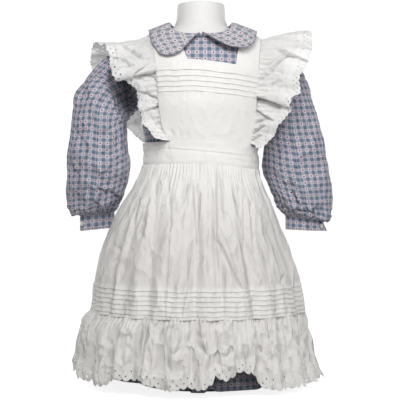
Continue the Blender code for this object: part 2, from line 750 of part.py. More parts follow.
def limb_point(ring_ends, middle_y, half_depth, turn, sign):
    """Point round a sleeve or cuff section: front, then towards +X, back and -X."""
    outer, inner = ring_ends
    middle = (outer + inner) / 2 + Vector((0, middle_y, 0))
    reach = (outer - inner) / 2
    return middle + reach * sin(turn) * sign + Vector((0, -half_depth * cos(turn), 0))


def armhole_point(turn, sign):
    """Point on the sleeve's edge, just inside the straight-sided armhole that the panels leave."""
    rise = sin(turn) * sign
    height = ARMHOLE_MIDDLE + (ARMHOLE_HALF_HEIGHT - 2 * SLEEVE_CLEARANCE) * rise
    corners = [panel_height(SIDE_ANGLE, level) for level in BODICE_LEVELS]
    above = bisect_right(corners, height)
    share = (height - corners[above - 1]) / (corners[above] - corners[above - 1])
    low, high = armhole_angle(corners[above - 1]), armhole_angle(corners[above])
    angle = low + (high - low) * share + SLEEVE_CLEARANCE_ANGLE
    angle = min(angle, SIDE_ANGLE - SLEEVE_CLEARANCE_ANGLE)
    angle = angle if cos(turn) > 0 else pi - angle
    return torso_point(sign * angle, height, BODICE_OFFSET)


def build_sleeve(side):
    """Builds a long sleeve, from its gathers at the cuff up to the armhole."""
    sign = 1 if side == "right" else -1
    turns = [2 * pi * (i + 0.5) / SLEEVE_COLUMNS for i in range(SLEEVE_COLUMNS)]
    rows = []
    for number, ring in enumerate(SLEEVE_RINGS[side]):
        outer = Vector((sign * ring.outer_x, 0, ring.outer_z))
        inner = Vector((sign * ring.inner_x, 0, ring.inner_z))
        gather = SLEEVE_GATHERS[number] if number < len(SLEEVE_GATHERS) else 0.0
        row = []
        for turn in turns:
            edge = limb_point((outer, inner), ring.middle_y, ring.half_depth, turn, sign)
            middle = (outer + inner) / 2 + Vector((0, ring.middle_y, 0))
            row.append(edge.lerp(middle, gather * wave(turn, CUFF_GATHERS)))
        rows.append(row)
    rows.append([armhole_point(turn, sign) for turn in turns])
    cloth(f"sleeve_{side}", rows, "print_cotton", offset=-1.0, wrap=True)


CUFF_COLUMNS = 22
CUFF_CLOTH = 0.0018
CUFF_GAP = 0.0012
CUFF_SETTLE = radians(40)
CUFF_BUTTON_SHARE = 0.42
CUFF_BUTTON_LEVEL = 0.46


def build_cuff(side):
    """Builds a cuff band, whose lapped end lies on top, and its button."""
    sign = 1 if side == "right" else -1
    cuff = CUFFS[side]
    lapped_end = CUFF_LAPPED_END[side]
    sweep = 2 * pi + CUFF_OVERLAP

    def point(share, level, out=0.0):
        turn = lapped_end + (sweep * share) * -sign
        travelled = sweep * share
        settle = min(max((CUFF_OVERLAP + CUFF_SETTLE - travelled) / CUFF_SETTLE, 0.0), 1.0)
        lift = (CUFF_CLOTH + CUFF_GAP) * settle
        lift += CUFF_FLARE[side] * max(1.0 - travelled / CUFF_OVERLAP, 0.0) ** 2
        outer_z = cuff.bottom_outer + (cuff.top_outer - cuff.bottom_outer) * level
        inner_z = cuff.bottom_inner + (cuff.top_inner - cuff.bottom_inner) * level
        outer = Vector((sign * (cuff.outer_x - CUFF_CLOTH + lift + out), 0, outer_z))
        inner = Vector((sign * (cuff.inner_x + CUFF_CLOTH - lift - out), 0, inner_z))
        half_depth = cuff.half_depth - CUFF_CLOTH + lift + out
        return limb_point((outer, inner), cuff.middle_y, half_depth, turn, sign)

    rows = []
    for level in (0.0, 0.5, 1.0):
        row = [point(i / CUFF_COLUMNS, level) for i in range(CUFF_COLUMNS + 1)]
        rows.append(row if side == "left" else row[::-1])
    cloth(f"cuff_{side}", rows, "print_cotton", thickness=CUFF_CLOTH)

    share = CUFF_OVERLAP * CUFF_BUTTON_SHARE / sweep
    level = CUFF_BUTTON_LEVEL
    seat = point(share, level, CUFF_CLOTH)
    normal = (point(share, level, 0.01) - point(share, level)).normalized()
    button(f"cuff_button_{side}", seat + normal * 3 * SEAM, normal)


# ---------------------------------------------------------------- pinafore bodice
LAST_STATION = 12
SHOULDER_STATION = 6
CHEST_STATION = 4


def shoulder_point(x, climb, start_height, offset, back=False):
    """Point over the shoulder: climb goes from 0 at a start height to 1 on the ridge."""
    top = ridge_height(x)
    height = start_height + (top - start_height) * sin(min(climb, 0.996) * pi / 2)
    return torso_at(x, height, offset, back)


def seam_point(side, station, offset):
    """Point on the seam between pinafore and ruffle, from front waist to back waist."""
    back = station > SHOULDER_STATION
    near = LAST_STATION - station if back else station
    x = read_stations(RUFFLES[side], "seam_x", station)
    half = (RUFFLES[side][::-1] if back else RUFFLES[side])[: CHEST_STATION + 1]
    if near > CHEST_STATION:
        return shoulder_point(x, (near - CHEST_STATION) / 2, half[-1].seam_height, offset, back)
    return torso_at(x, read_stations(half, "seam_height", near), offset, back)


def seam_x_at(side, height, back=False):
    """Distance of that seam from the middle, at a height below the shoulder."""
    half = (RUFFLES[side][::-1] if back else RUFFLES[side])[: CHEST_STATION + 1]
    return smooth_curve([row.seam_height for row in half], [row.seam_x for row in half], height)


STRAP_CELLS = 3
NECK_CELLS = 6
STRAP_CLIMBS = (0.18, 0.36, 0.54, 0.70, 0.83, 0.93, 1.0)
BIB_LOWER_LEVELS = (0.0, 0.25, 0.5, 0.75)


def spread(ends, cells):
    """Evenly spaced numbers through a list of ends, with a count of cells between each pair."""
    marks = [ends[0]]
    for start, end, count in zip(ends, ends[1:], cells):
        marks += [start + (end - start) * (i + 1) / count for i in range(count)]
    return marks


def build_bib():
    """Builds the tucked bib with its front straps, up to the shoulder ridge."""
    cells = (STRAP_CELLS, NECK_CELLS, STRAP_CELLS)
    neck_left = BIB_SHIFT - NECKLINE_HALF_WIDTH
    neck_right = BIB_SHIFT + NECKLINE_HALF_WIDTH
    chest = {side: RUFFLES[side][CHEST_STATION].seam_height for side in RUFFLES}

    def row_at(height, droop):
        marks = spread((seam_x_at("left", height), neck_left, neck_right, seam_x_at("right", height)), cells)
        return [torso_at(x, height - droop * max(x - TUCKS_LEVEL_TO, 0.0), PINAFORE_OFFSET) for x in marks]

    rows = []
    for level in BIB_LOWER_LEVELS:
        low = WAISTBAND_TOP + (BIB_TUCK_LOWEST - WAISTBAND_TOP) * level
        marks = spread((seam_x_at("left", low), neck_left, neck_right, seam_x_at("right", low)), cells)
        row = []
        for x in marks:
            bottom = band_top(x) + 2 * SEAM
            top = BIB_TUCK_LOWEST - BIB_TUCK_DROOP * max(x - TUCKS_LEVEL_TO, 0.0)
            row.append(torso_at(x, bottom + (top - bottom) * level, PINAFORE_OFFSET))
        rows.append(row)
    raised = []
    for tuck in range(BIB_TUCKS):
        height = BIB_TUCK_LOWEST + BIB_TUCK_SPACING * tuck
        rows.append(row_at(height - TUCK_EDGE, BIB_TUCK_DROOP))
        raised.append(len(rows))
        rows.append(row_at(height, BIB_TUCK_DROOP))
    rows.append(row_at(BIB_TUCK_LOWEST + BIB_TUCK_SPACING * (BIB_TUCKS - 0.5), BIB_TUCK_DROOP))

    seams = {side: RUFFLES[side][CHEST_STATION].seam_x for side in RUFFLES}
    marks = spread((seams["left"], neck_left, neck_right, seams["right"]), cells)
    tops = spread((chest["left"], *NECKLINE_CORNERS, chest["right"]), cells)
    neck_row = len(rows)
    rows.append([torso_at(x, height, PINAFORE_OFFSET) for x, height in zip(marks, tops)])
    for climb in STRAP_CLIMBS:
        station = CHEST_STATION + 2 * climb
        outward = sin(climb * pi / 2)
        ends = (
            read_stations(RUFFLES["left"], "seam_x", station),
            neck_left + (BACK_STRAPS["left"].ridge_x - neck_left) * outward,
            neck_right + (BACK_STRAPS["right"].ridge_x - neck_right) * outward,
            read_stations(RUFFLES["right"], "seam_x", station),
        )
        row = [
            shoulder_point(x, climb, height, PINAFORE_OFFSET)
            for x, height in zip(spread(ends, cells), tops)
        ]
        rows.append(row)

    def in_neckline(j, i):
        return j >= neck_row and STRAP_CELLS <= i < STRAP_CELLS + NECK_CELLS

    cloth("pinafore_bib", rows, "white_cotton", skip=in_neckline, raised=raised)


def build_back_strap(side):
    """Builds a back strap, from the back of the waistband up to the shoulder ridge."""
    strap = BACK_STRAPS[side]
    start = RUFFLES[side][LAST_STATION - CHEST_STATION].seam_height
    rows = []
    for level in (0.0, 0.2, 0.4, 0.6, 0.8, 1.0):
        height = WAISTBAND_TOP + (start - WAISTBAND_TOP) * level
        inner_x = strap.waist_x + (strap.chest_x - strap.waist_x) * level
        row = []
        for x in spread((inner_x, seam_x_at(side, height, back=True)), (STRAP_CELLS,)):
            bottom = band_top(x) + 2 * SEAM
            row.append(torso_at(x, bottom + (start - bottom) * level, PINAFORE_OFFSET, back=True))
        rows.append(row)
    for climb in STRAP_CLIMBS:
        inner_x = strap.chest_x + (strap.ridge_x - strap.chest_x) * sin(climb * pi / 2)
        outer_x = read_stations(RUFFLES[side], "seam_x", LAST_STATION - CHEST_STATION - 2 * climb)
        marks = spread((inner_x, outer_x), (STRAP_CELLS,))
        rows.append([shoulder_point(x, climb, start, PINAFORE_OFFSET, back=True) for x in marks])
    rows = [row[::-1] for row in rows] if side == "right" else rows
    cloth(f"back_strap_{side}", rows, "white_cotton")


RUFFLE_WIDTHS = (0.0, 0.30, 0.65, 1.0)
RUFFLE_START = 0.0018
RUFFLE_LIFT = 0.0004
RUFFLE_SCALLOP = 0.035
RUFFLE_BOW = 0.3


def build_ruffle(side):
    """Builds a gathered ruffle, from the front waist over the shoulder to the back waist."""
    stations = RUFFLES[side]

    def edge_point(station):
        return Vector([read_stations(stations, field, station) for field in ("edge_x", "edge_y", "edge_z")])

    rows = [[] for _ in RUFFLE_WIDTHS]
    for i in range(RUFFLE_COLUMNS + 1):
        along = i / RUFFLE_COLUMNS
        station = LAST_STATION * along
        seam = seam_point(side, station, PINAFORE_OFFSET + CLOTH / 2)
        normal = (seam_point(side, station, 0.02) - seam_point(side, station, 0.0)).normalized()
        edge = edge_point(station)
        ahead = edge_point(min(station + 0.1, LAST_STATION)) - edge_point(max(station - 0.1, 0.0))
        start = seam + (edge - seam).normalized() * RUFFLE_START + normal * RUFFLE_LIFT
        lift = (edge - seam).cross(ahead).normalized()
        swing = read_stations(stations, "wave", station) * cos(2 * pi * RUFFLE_WAVES * along)
        scallop = 1.0 - RUFFLE_SCALLOP * (i % 2)
        for row, share in zip(rows, RUFFLE_WIDTHS):
            reach = share * scallop if share == 1.0 else share
            bow = normal * (edge - seam).length * RUFFLE_BOW * share * (1 - share)
            row.append(start.lerp(edge, reach) + bow + lift * swing * share)
    cloth(f"ruffle_{side}", rows, "white_cotton", offset=0.0)


WAISTBAND_COLUMNS = 44
WAISTBAND_LAP = 0.16
LAP_RISE_FROM = pi - 0.30
LAP_RISE_OVER = 0.24


def build_waistband():
    """Builds the waistband, which laps and buttons at centre back."""
    rows = []
    for level in (0.0, 0.5, 1.0):
        row = []
        for i in range(WAISTBAND_COLUMNS + 1):
            angle = -pi + (2 * pi + WAISTBAND_LAP) * i / WAISTBAND_COLUMNS
            lift = LAP_LIFT * min(max((angle - LAP_RISE_FROM) / LAP_RISE_OVER, 0.0), 1.0)
            height = band_top(WAISTBAND_HALF_WIDTH * sin(angle)) - WAISTBAND_HEIGHT * (1.0 - level)
            row.append(torso_point(angle, height, WAISTBAND_OFFSET + lift))
        rows.append(row)
    cloth("waistband", rows, "white_cotton")
    height = WAISTBAND_TOP - WAISTBAND_HEIGHT / 2
    angle = WAISTBAND_BUTTON_ANGLE
    seat = torso_point(angle, height, WAISTBAND_OFFSET + LAP_LIFT + CLOTH)
    normal = (torso_point(angle, height, 0.01) - torso_point(angle, height, 0.0)).normalized()
    button("waistband_button", seat + normal * SEAM, normal)


def build_collar(side):
    """Builds one half of the flat round collar, from centre front to centre back."""
    sign = 1 if side == "right" else -1
    edges = COLLAR_FRONTS[side] + COLLAR_BACK
    rows = []
    for line in COLLAR_ROWS:
        row = []
        for edge in edges:
            angle = sign * radians(edge.angle)
            neck = neck_height(angle)
            fullness = min(1.0, (neck - edge.height) / 0.020)
            height = neck + (edge.height - neck) * line.share + line.rise * fullness
            row.append(torso_point(angle, height, line.offset))
        rows.append(row if side == "right" else row[::-1])
    cloth(f"collar_{side}", rows, "print_cotton")


# ---------------------------------------------------------------- assembly
clear_scene()
FINISHES = make_materials()
GARMENT = bpy.data.collections.new("dirndl_dress")
bpy.context.scene.collection.children.link(GARMENT)

build_form()
build_bodice_front()
build_dress_skirt()
build_bib()
build_waistband()
build_pinafore_skirt()
build_flounce()
build_back_buttons()
for side_name in ("left", "right"):
    build_bodice_back(side_name)
    build_sleeve(side_name)
    build_cuff(side_name)
    build_back_strap(side_name)
    build_ruffle(side_name)
    build_collar(side_name)
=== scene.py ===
"""Child's dirndl dress with a white pinafore, worn on a limbless dress form.

Metres, +Z up, front towards -Y. Left and right are as seen from the front, so left is at -X.
A cloth's rows go up, and its columns go round towards +X as seen from the front.
"""

import sys

import logging  # noqa: E402
from dataclasses import dataclass  # noqa: E402
from enum import Enum  # noqa: E402
from typing import Optional, Sequence  # noqa: E402

import bmesh  # noqa: E402
import bpy  # noqa: E402
import numpy as np  # noqa: E402
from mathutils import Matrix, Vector  # noqa: E402

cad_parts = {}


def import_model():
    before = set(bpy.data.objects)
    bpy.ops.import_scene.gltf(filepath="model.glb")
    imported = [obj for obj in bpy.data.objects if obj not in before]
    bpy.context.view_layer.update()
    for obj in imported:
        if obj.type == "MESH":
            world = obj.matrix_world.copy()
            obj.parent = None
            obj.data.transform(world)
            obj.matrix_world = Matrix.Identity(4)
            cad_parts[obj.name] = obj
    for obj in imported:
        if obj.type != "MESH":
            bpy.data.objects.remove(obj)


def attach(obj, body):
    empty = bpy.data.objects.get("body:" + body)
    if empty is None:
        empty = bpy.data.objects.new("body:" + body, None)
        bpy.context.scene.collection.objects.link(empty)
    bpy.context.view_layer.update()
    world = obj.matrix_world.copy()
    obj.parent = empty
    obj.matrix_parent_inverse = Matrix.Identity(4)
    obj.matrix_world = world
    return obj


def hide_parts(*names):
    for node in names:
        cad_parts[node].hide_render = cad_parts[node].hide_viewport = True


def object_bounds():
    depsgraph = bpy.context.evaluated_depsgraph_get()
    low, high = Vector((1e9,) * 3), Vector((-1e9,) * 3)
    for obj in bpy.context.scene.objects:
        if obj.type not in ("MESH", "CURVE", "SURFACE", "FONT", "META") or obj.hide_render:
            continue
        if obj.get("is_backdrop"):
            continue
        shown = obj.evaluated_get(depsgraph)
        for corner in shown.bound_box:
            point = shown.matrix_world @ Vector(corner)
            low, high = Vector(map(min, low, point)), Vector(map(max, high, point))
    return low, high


Array = np.ndarray
Colour = tuple[float, float, float]
Piece = bpy.types.Object
Socket = bpy.types.NodeSocket
log = logging.getLogger("dirndl_dress")


class Side(Enum):
    """A side of the garment, as seen from the front."""

    LEFT = "left"
    RIGHT = "right"

    @property
    def sign(self) -> float:
        """Direction of the side along X."""
        return 1.0 if self is Side.RIGHT else -1.0


# ---------------------------------------------------------------- curves and soft relief
def ease(share: Array) -> Array:
    """Rises smoothly from 0 to 1 as the share does."""
    share = np.clip(share, 0.0, 1.0)
    return share * share * (3.0 - 2.0 * share)


def unit(vectors: Array) -> Array:
    """Scales vectors to a length of 1."""
    return vectors / np.maximum(np.linalg.norm(vectors, axis=-1, keepdims=True), 1e-12)


def blend(start: Array, end: Array, share: Array) -> Array:
    """Mixes two arrays of points by a share for each point."""
    return start + (end - start) * np.asarray(share)[..., None]


@dataclass(frozen=True)
class Curve:
    """Smooth curve through knots, which never overshoots them."""

    places: tuple[float, ...]
    values: tuple[float, ...]

    def at(self, place: Array) -> Array:
        """Reads the curve.

        Args:
            place: Where to read it; past the ends it stays level.

        Returns:
            The curve's values there.
        """
        places = np.asarray(self.places, float)
        values = np.asarray(self.values, float)
        place = np.clip(place, places[0], places[-1])
        secants = np.diff(values) / np.diff(places)
        slopes = np.empty_like(values)
        slopes[0], slopes[-1] = secants[0], secants[-1]
        product = secants[:-1] * secants[1:]
        total = np.where(product > 0.0, secants[:-1] + secants[1:], 1.0)
        slopes[1:-1] = np.where(product > 0.0, 2.0 * product / total, 0.0)
        knot = np.clip(np.searchsorted(places, place, side="right") - 1, 0, len(places) - 2)
        span = places[knot + 1] - places[knot]
        along = (place - places[knot]) / span
        rise = 3.0 * along**2 - 2.0 * along**3
        start_share = along**3 - 2.0 * along**2 + along
        end_share = along**3 - along**2
        ends = values[knot] * (1.0 - rise) + values[knot + 1] * rise
        return ends + span * (slopes[knot] * start_share + slopes[knot + 1] * end_share)


@dataclass(frozen=True)
class Crumple:
    """Seeded dents of washed cotton, from about -1 to 1.

    crisp mixes in dents that meet in sharp lines, as where cloth has been crushed.
    """

    seed: int
    dent: float
    octaves: int = 2
    stretch: float = 1.0
    crisp: float = 0.0
    lattice: int = 128

    def at(self, across: Array, up: Array, girth: Optional[float] = None) -> Array:
        """Reads the dents.

        Args:
            across: Place across the cloth, in metres.
            up: Place up the cloth, in metres.
            girth: Length after which a tube's cloth comes round to its start.

        Returns:
            The relief at each place.
        """
        turns = np.random.default_rng(self.seed).uniform(0.0, 2.0 * np.pi, (self.lattice, self.lattice))
        total = np.zeros(np.broadcast(across, up).shape)
        size, height = self.dent, 1.0
        for octave in range(self.octaves):
            cells = max(1, round(girth / size)) if girth else 0
            x = across / (girth / cells if girth else size)
            y = up / (size * self.stretch) + 17.3 * octave
            noise = self._lattice_noise(turns, x, y, cells)
            total = total + height * (noise * (1.0 - self.crisp) + (0.25 - 1.4 * np.abs(noise)) * self.crisp)
            size, height = size * 0.5, height * 0.5
        return 1.6 * total

    def _lattice_noise(self, turns: Array, x: Array, y: Array, cells: int) -> Array:
        """Gradient noise on a unit lattice, which repeats after a number of cells in x.

        Args:
            turns: Way that each lattice point pulls.
            x: Place across the lattice.
            y: Place up the lattice.
            cells: Cells after which it comes round, or 0.

        Returns:
            The noise at each place.
        """
        left, low = np.floor(x).astype(int), np.floor(y).astype(int)
        dx, dy = x - left, y - low

        def corner(i: int, j: int) -> Array:
            """Pull of one corner of the cell.

            Args:
                i: 0 for the left corners, 1 for the right ones.
                j: 0 for the lower corners, 1 for the upper ones.

            Returns:
                The pull at each place.
            """
            column = (left + i) % cells if cells else left + i
            turn = turns[column % self.lattice, (low + j) % self.lattice]
            return np.cos(turn) * (dx - i) + np.sin(turn) * (dy - j)

        wide, tall = dx**3 * (dx * (6 * dx - 15) + 10), dy**3 * (dy * (6 * dy - 15) + 10)
        bottom = corner(0, 0) * (1 - wide) + corner(1, 0) * wide
        top = corner(0, 1) * (1 - wide) + corner(1, 1) * wide
        return bottom * (1 - tall) + top * tall


@dataclass(frozen=True)
class Crease:
    """Trough along a straight line on a cloth, or a ridge where its depth is negative.

    lean makes its near side, to the left of the line's way, that many times wider than its
    far side, as where cloth folds over itself.
    """

    start: tuple[float, float]
    end: tuple[float, float]
    width: float
    depth: float
    lean: float = 1.0

    def place(self, across: Array, up: Array) -> tuple[Array, Array, float]:
        """Share of the way along the line, distance to its left, and the line's length.

        Args:
            across: Place across the cloth, in metres.
            up: Place up the cloth, in metres.

        Returns:
            The three measures, at each place.
        """
        run, rise = self.end[0] - self.start[0], self.end[1] - self.start[1]
        length = np.hypot(run, rise)
        right, above = across - self.start[0], up - self.start[1]
        return (right * run + above * rise) / length**2, (above * run - right * rise) / length, length

    @staticmethod
    def fade(along: Array, reach: float) -> Array:
        """Strength of the crease, which dies away over a reach at both ends of its line."""
        return ease(np.minimum(along + 0.02, 1.02 - along) / reach)

    def inset(self, across: Array, up: Array) -> Array:
        """Depth of the crease at places on the cloth, in the units of its ends.

        Args:
            across: Place across the cloth, in metres.
            up: Place up the cloth, in metres.

        Returns:
            The depth at each place.
        """
        along, aside, length = self.place(across, up)
        reach = np.where(aside > 0.0, self.width * self.lean, self.width)
        past = np.maximum(np.maximum(-along, along - 1.0), 0.0) * length
        away = (np.abs(aside) / reach) ** 1.4 + (past / self.width) ** 2
        return self.depth * self.fade(along, 0.3) * np.exp(-away)


@dataclass(frozen=True)
class Fold(Crease):
    """Cloth that laps over itself along a line: its near side stands out, its far side sinks."""

    rise: float = 0.0
    lip: float = 0.0020

    def inset(self, across: Array, up: Array) -> Array:
        """Depth of the fold at places on the cloth, which is less than 0 where it stands out.

        Args:
            across: Place across the cloth, in metres.
            up: Place up the cloth, in metres.

        Returns:
            The depth at each place.
        """
        along, aside, _ = self.place(across, up)
        near = ease(0.5 + aside / self.lip)
        sunk = self.depth * np.exp(-((np.abs(aside) / self.width) ** 1.4)) * (1.0 - near)
        raised = self.rise * np.exp(-((aside / (self.width * self.lean)) ** 2)) * near
        return self.fade(along, 0.22) * (sunk - raised)


def creased(creases: Sequence[Crease], across: Array, up: Array) -> Array:
    """Adds up the depths of a cloth's creases."""
    return sum((crease.inset(across, up) for crease in creases), np.zeros_like(across))


def pleats(across: Array, pitch: float, seed: int, girth: Optional[float] = None) -> Array:
    """Uneven gathers side by side, from 0 on a crest to 1 in a trough.

    Args:
        across: Place across the cloth, in metres.
        pitch: Mean width of a gather.
        seed: Seed of their unevenness.
        girth: Length after which a tube's cloth comes round to its start.

    Returns:
        The share of the full depth at each place.
    """
    turns = across * (max(1, round(girth / pitch)) / girth if girth else 1.0 / pitch)
    level = np.zeros_like(across)
    uneven = Crumple(seed, pitch * 5, 2).at(across, level, girth)
    strength = 0.72 + 0.28 * Crumple(seed + 1, pitch * 3, 1).at(across, level, girth)
    return (0.5 - 0.5 * np.cos(2.0 * np.pi * (turns + 0.55 * uneven))) * strength


# ---------------------------------------------------------------- shader helpers and finishes
class Plan:
    """Adds and links nodes in one material."""

    def __init__(self, name: str) -> None:
        """Starts a material.

        Args:
            name: Name of the material.
        """
        self.material = bpy.data.materials.new(name)
        self.material.use_nodes = True
        self.tree = self.material.node_tree
        self.shader = self.tree.nodes["Principled BSDF"]

    def add(self, kind: str, **settings: object) -> bpy.types.Node:
        """Adds a node of a kind, with its settings.

        Args:
            kind: Type of the node.
            settings: Its properties.

        Returns:
            The new node.
        """
        node = self.tree.nodes.new(kind)
        for key, value in settings.items():
            setattr(node, key, value)
        return node

    def feed(self, socket: Socket, value: object) -> None:
        """Links a socket to another, or sets it to a constant.

        Args:
            socket: The input.
            value: Another socket, or a constant.
        """
        if isinstance(value, Socket):
            self.tree.links.new(value, socket)
        else:
            socket.default_value = value

    def dress(self, **levels: object) -> None:
        """Feeds the shader's inputs, named with _ for a space."""
        for key, value in levels.items():
            self.feed(self.shader.inputs[key.replace("_", " ")], value)

    def math(self, operation: str, *values: object, kind: str = "ShaderNodeMath") -> Socket:
        """Works out one number, or one vector, from others.

        Args:
            operation: What is worked out.
            values: Sockets or constants.
            kind: Type of the node.

        Returns:
            Socket of the result.
        """
        node = self.add(kind, operation=operation)
        for socket, value in zip(node.inputs, values):
            self.feed(socket, value)
        return node.outputs[0]

    def vector(self, operation: str, *values: object) -> Socket:
        """Works out one vector from others."""
        return self.math(operation, *values, kind="ShaderNodeVectorMath")

    def length(self, vector: Socket) -> Socket:
        """Length of a vector."""
        return self.vector("LENGTH", vector).node.outputs["Value"]

    def split(self, vector: Socket) -> list[Socket]:
        """Parts of a vector along X, Y and Z.

        Args:
            vector: The vector.

        Returns:
            Sockets of the three parts.
        """
        node = self.add("ShaderNodeSeparateXYZ")
        self.feed(node.inputs[0], vector)
        return list(node.outputs)

    def ramp(self, value: object, low: float, high: float) -> Socket:
        """Falls smoothly from 1 at or below low to 0 at or above high.

        Args:
            value: What is read.
            low: Where it starts to fall.
            high: Where it has fallen to 0.

        Returns:
            Socket of the share.
        """
        node = self.add("ShaderNodeMapRange", interpolation_type="SMOOTHSTEP")
        for socket, number in zip(node.inputs, (value, low, high, 1.0, 0.0)):
            self.feed(socket, number)
        return node.outputs[0]

    def mix(self, share: object, below: object, above: object) -> Socket:
        """Lays one colour over another by a share.

        Args:
            share: Share of the upper colour.
            below: The lower colour.
            above: The upper colour.

        Returns:
            Socket of the mixed colour.
        """
        node = self.add("ShaderNodeMix", data_type="RGBA")
        for socket, value in zip((node.inputs[0], node.inputs[6], node.inputs[7]), (share, below, above)):
            self.feed(socket, (*value, 1.0) if isinstance(value, tuple) else value)
        return node.outputs[2]

    def cloud(self, place: Socket, sizes: dict[str, float], **settings: object) -> bpy.types.Node:
        """Adds a noise texture with named sizes.

        Args:
            place: Socket of the place.
            sizes: Values of its inputs, by name.
            settings: Its properties.

        Returns:
            The new node.
        """
        node = self.add("ShaderNodeTexNoise", **settings)
        self.feed(node.inputs["Vector"], place)
        for key, value in sizes.items():
            node.inputs[key].default_value = value
        return node

    def noise(self, place: Socket, scale: float, detail: float = 2.0) -> Socket:
        """Soft noise from 0 to 1."""
        return self.cloud(place, {"Scale": scale, "Detail": detail}).outputs[0]

    def flat(self) -> Socket:
        """Place on the flat cloth, in metres."""
        return self.add("ShaderNodeUVMap", uv_map="flat").outputs[0]

    def place(self) -> Socket:
        """Place in the object's own coordinates."""
        return self.add("ShaderNodeTexCoord").outputs["Object"]

    def bump(self, height: Socket, strength: float, distance: float) -> None:
        """Gives the shader a fine relief on top of what it has.

        Args:
            height: Socket of the relief.
            strength: Share of it that shows.
            distance: Its full height, in metres.
        """
        node = self.add("ShaderNodeBump")
        node.inputs["Strength"].default_value = strength
        node.inputs["Distance"].default_value = distance
        self.feed(node.inputs["Height"], height)
        before = self.shader.inputs["Normal"].links
        if before:
            self.feed(node.inputs["Normal"], before[0].from_socket)
        self.dress(Normal=node.outputs[0])

    def crushed(self, depth: float, stretch: float) -> None:
        """Adds the sharp small wrinkles of cotton that has been washed and crushed.

        Args:
            depth: Height of the wrinkles, in metres.
            stretch: How much longer they are up than across.
        """
        place = self.vector("MULTIPLY", self.place(), (1.0, 1.0, 1.0 / stretch))
        sway = self.cloud(place, {"Scale": 30.0}).outputs["Color"]
        moved = self.vector("ADD", place, self.vector("MULTIPLY", sway, (0.02, 0.02, 0.02)))
        sizes = dict(Scale=42.0, Detail=3.0, Roughness=0.55, Lacunarity=2.1, Offset=0.9, Gain=1.0)
        ridges = self.cloud(moved, sizes, noise_type="RIDGED_MULTIFRACTAL", normalize=False)
        self.bump(ridges.outputs[0], 1.0, depth)

    def weave(self, thread: float, strength: float) -> None:
        """Adds the relief of a plain weave of crossing threads.

        Args:
            thread: Width of a thread, in metres.
            strength: Share of the relief that shows.
        """
        per_thread = np.pi / thread
        over, under, _ = self.split(self.vector("MULTIPLY", self.flat(), (per_thread, per_thread, 0.0)))
        self.bump(self.math("MULTIPLY", self.math("SINE", over), self.math("SINE", under)), strength, 0.0001)


@dataclass(frozen=True)
class Cotton:
    """Plain-weave cotton, washed soft. Each kind of it adds its own colour."""

    name: str
    crush: float = 0.0030
    stretch: float = 1.7
    thread: float = 0.00042
    roughness: float = 0.9
    sheen: float = 0.12
    nap: float = 0.6
    through: float = 0.0

    def colour(self, plan: Plan) -> Socket:
        """Works out the cloth's colour."""
        raise NotImplementedError

    def material(self) -> bpy.types.Material:
        """Makes the finish's material."""
        plan = Plan(self.name)
        plan.dress(Base_Color=self.colour(plan), Roughness=self.roughness, Specular_IOR_Level=0.25,
                   Sheen_Weight=self.sheen, Sheen_Roughness=self.nap, Subsurface_Weight=self.through,
                   Subsurface_Radius=(1.0, 1.0, 1.0), Subsurface_Scale=0.003)
        plan.weave(self.thread, 0.35)
        plan.crushed(self.crush, self.stretch)
        return plan.material


@dataclass(frozen=True)
class WhiteCotton(Cotton):
    """White cotton with faint slubs, greyer in patches, and darker low down: partly painted shade for the
    light that falls off downwards, partly the cloth's own warmer tone.

    trim is a band up the flat cloth, from its first height to its second, that is whiter.
    """

    name: str = "white_cotton"
    light: Colour = (0.815, 0.805, 0.785)
    worn: Colour = (0.765, 0.750, 0.725)
    greyed_and_shaded: Colour = (0.735, 0.715, 0.690)
    greyed_and_shaded_between: tuple[float, float] = (0.16, 0.40)
    trim: Optional[tuple[float, float]] = None
    trim_blur: float = 0.0006
    trim_share: float = 0.6

    def colour(self, plan: Plan) -> Socket:
        """Works out the cloth's colour.

        Args:
            plan: Plan of the material.

        Returns:
            Socket of the colour.
        """
        flat = plan.flat()
        patches = plan.noise(plan.place(), 22.0, 3.0)
        slubs = plan.noise(plan.vector("MULTIPLY", flat, (900.0, 60.0, 1.0)), 1.0)
        share = plan.math("MULTIPLY_ADD", slubs, 0.35, plan.math("MULTIPLY", patches, 0.5))
        colour = plan.mix(share, self.light, self.worn)
        # Painted shade, with some of the cloth's own warmer tone: the colour darkens low down, where the
        # light falls off.
        low = plan.ramp(plan.split(plan.place())[2], *self.greyed_and_shaded_between)
        colour = plan.mix(low, colour, self.greyed_and_shaded)
        if self.trim:
            middle, half = (self.trim[0] + self.trim[1]) / 2, (self.trim[1] - self.trim[0]) / 2
            off = plan.math("ABSOLUTE", plan.math("SUBTRACT", plan.split(flat)[1], middle))
            band = plan.ramp(off, half, half + self.trim_blur)
            colour = plan.mix(plan.math("MULTIPLY", band, self.trim_share), colour, self.light)
        return colour


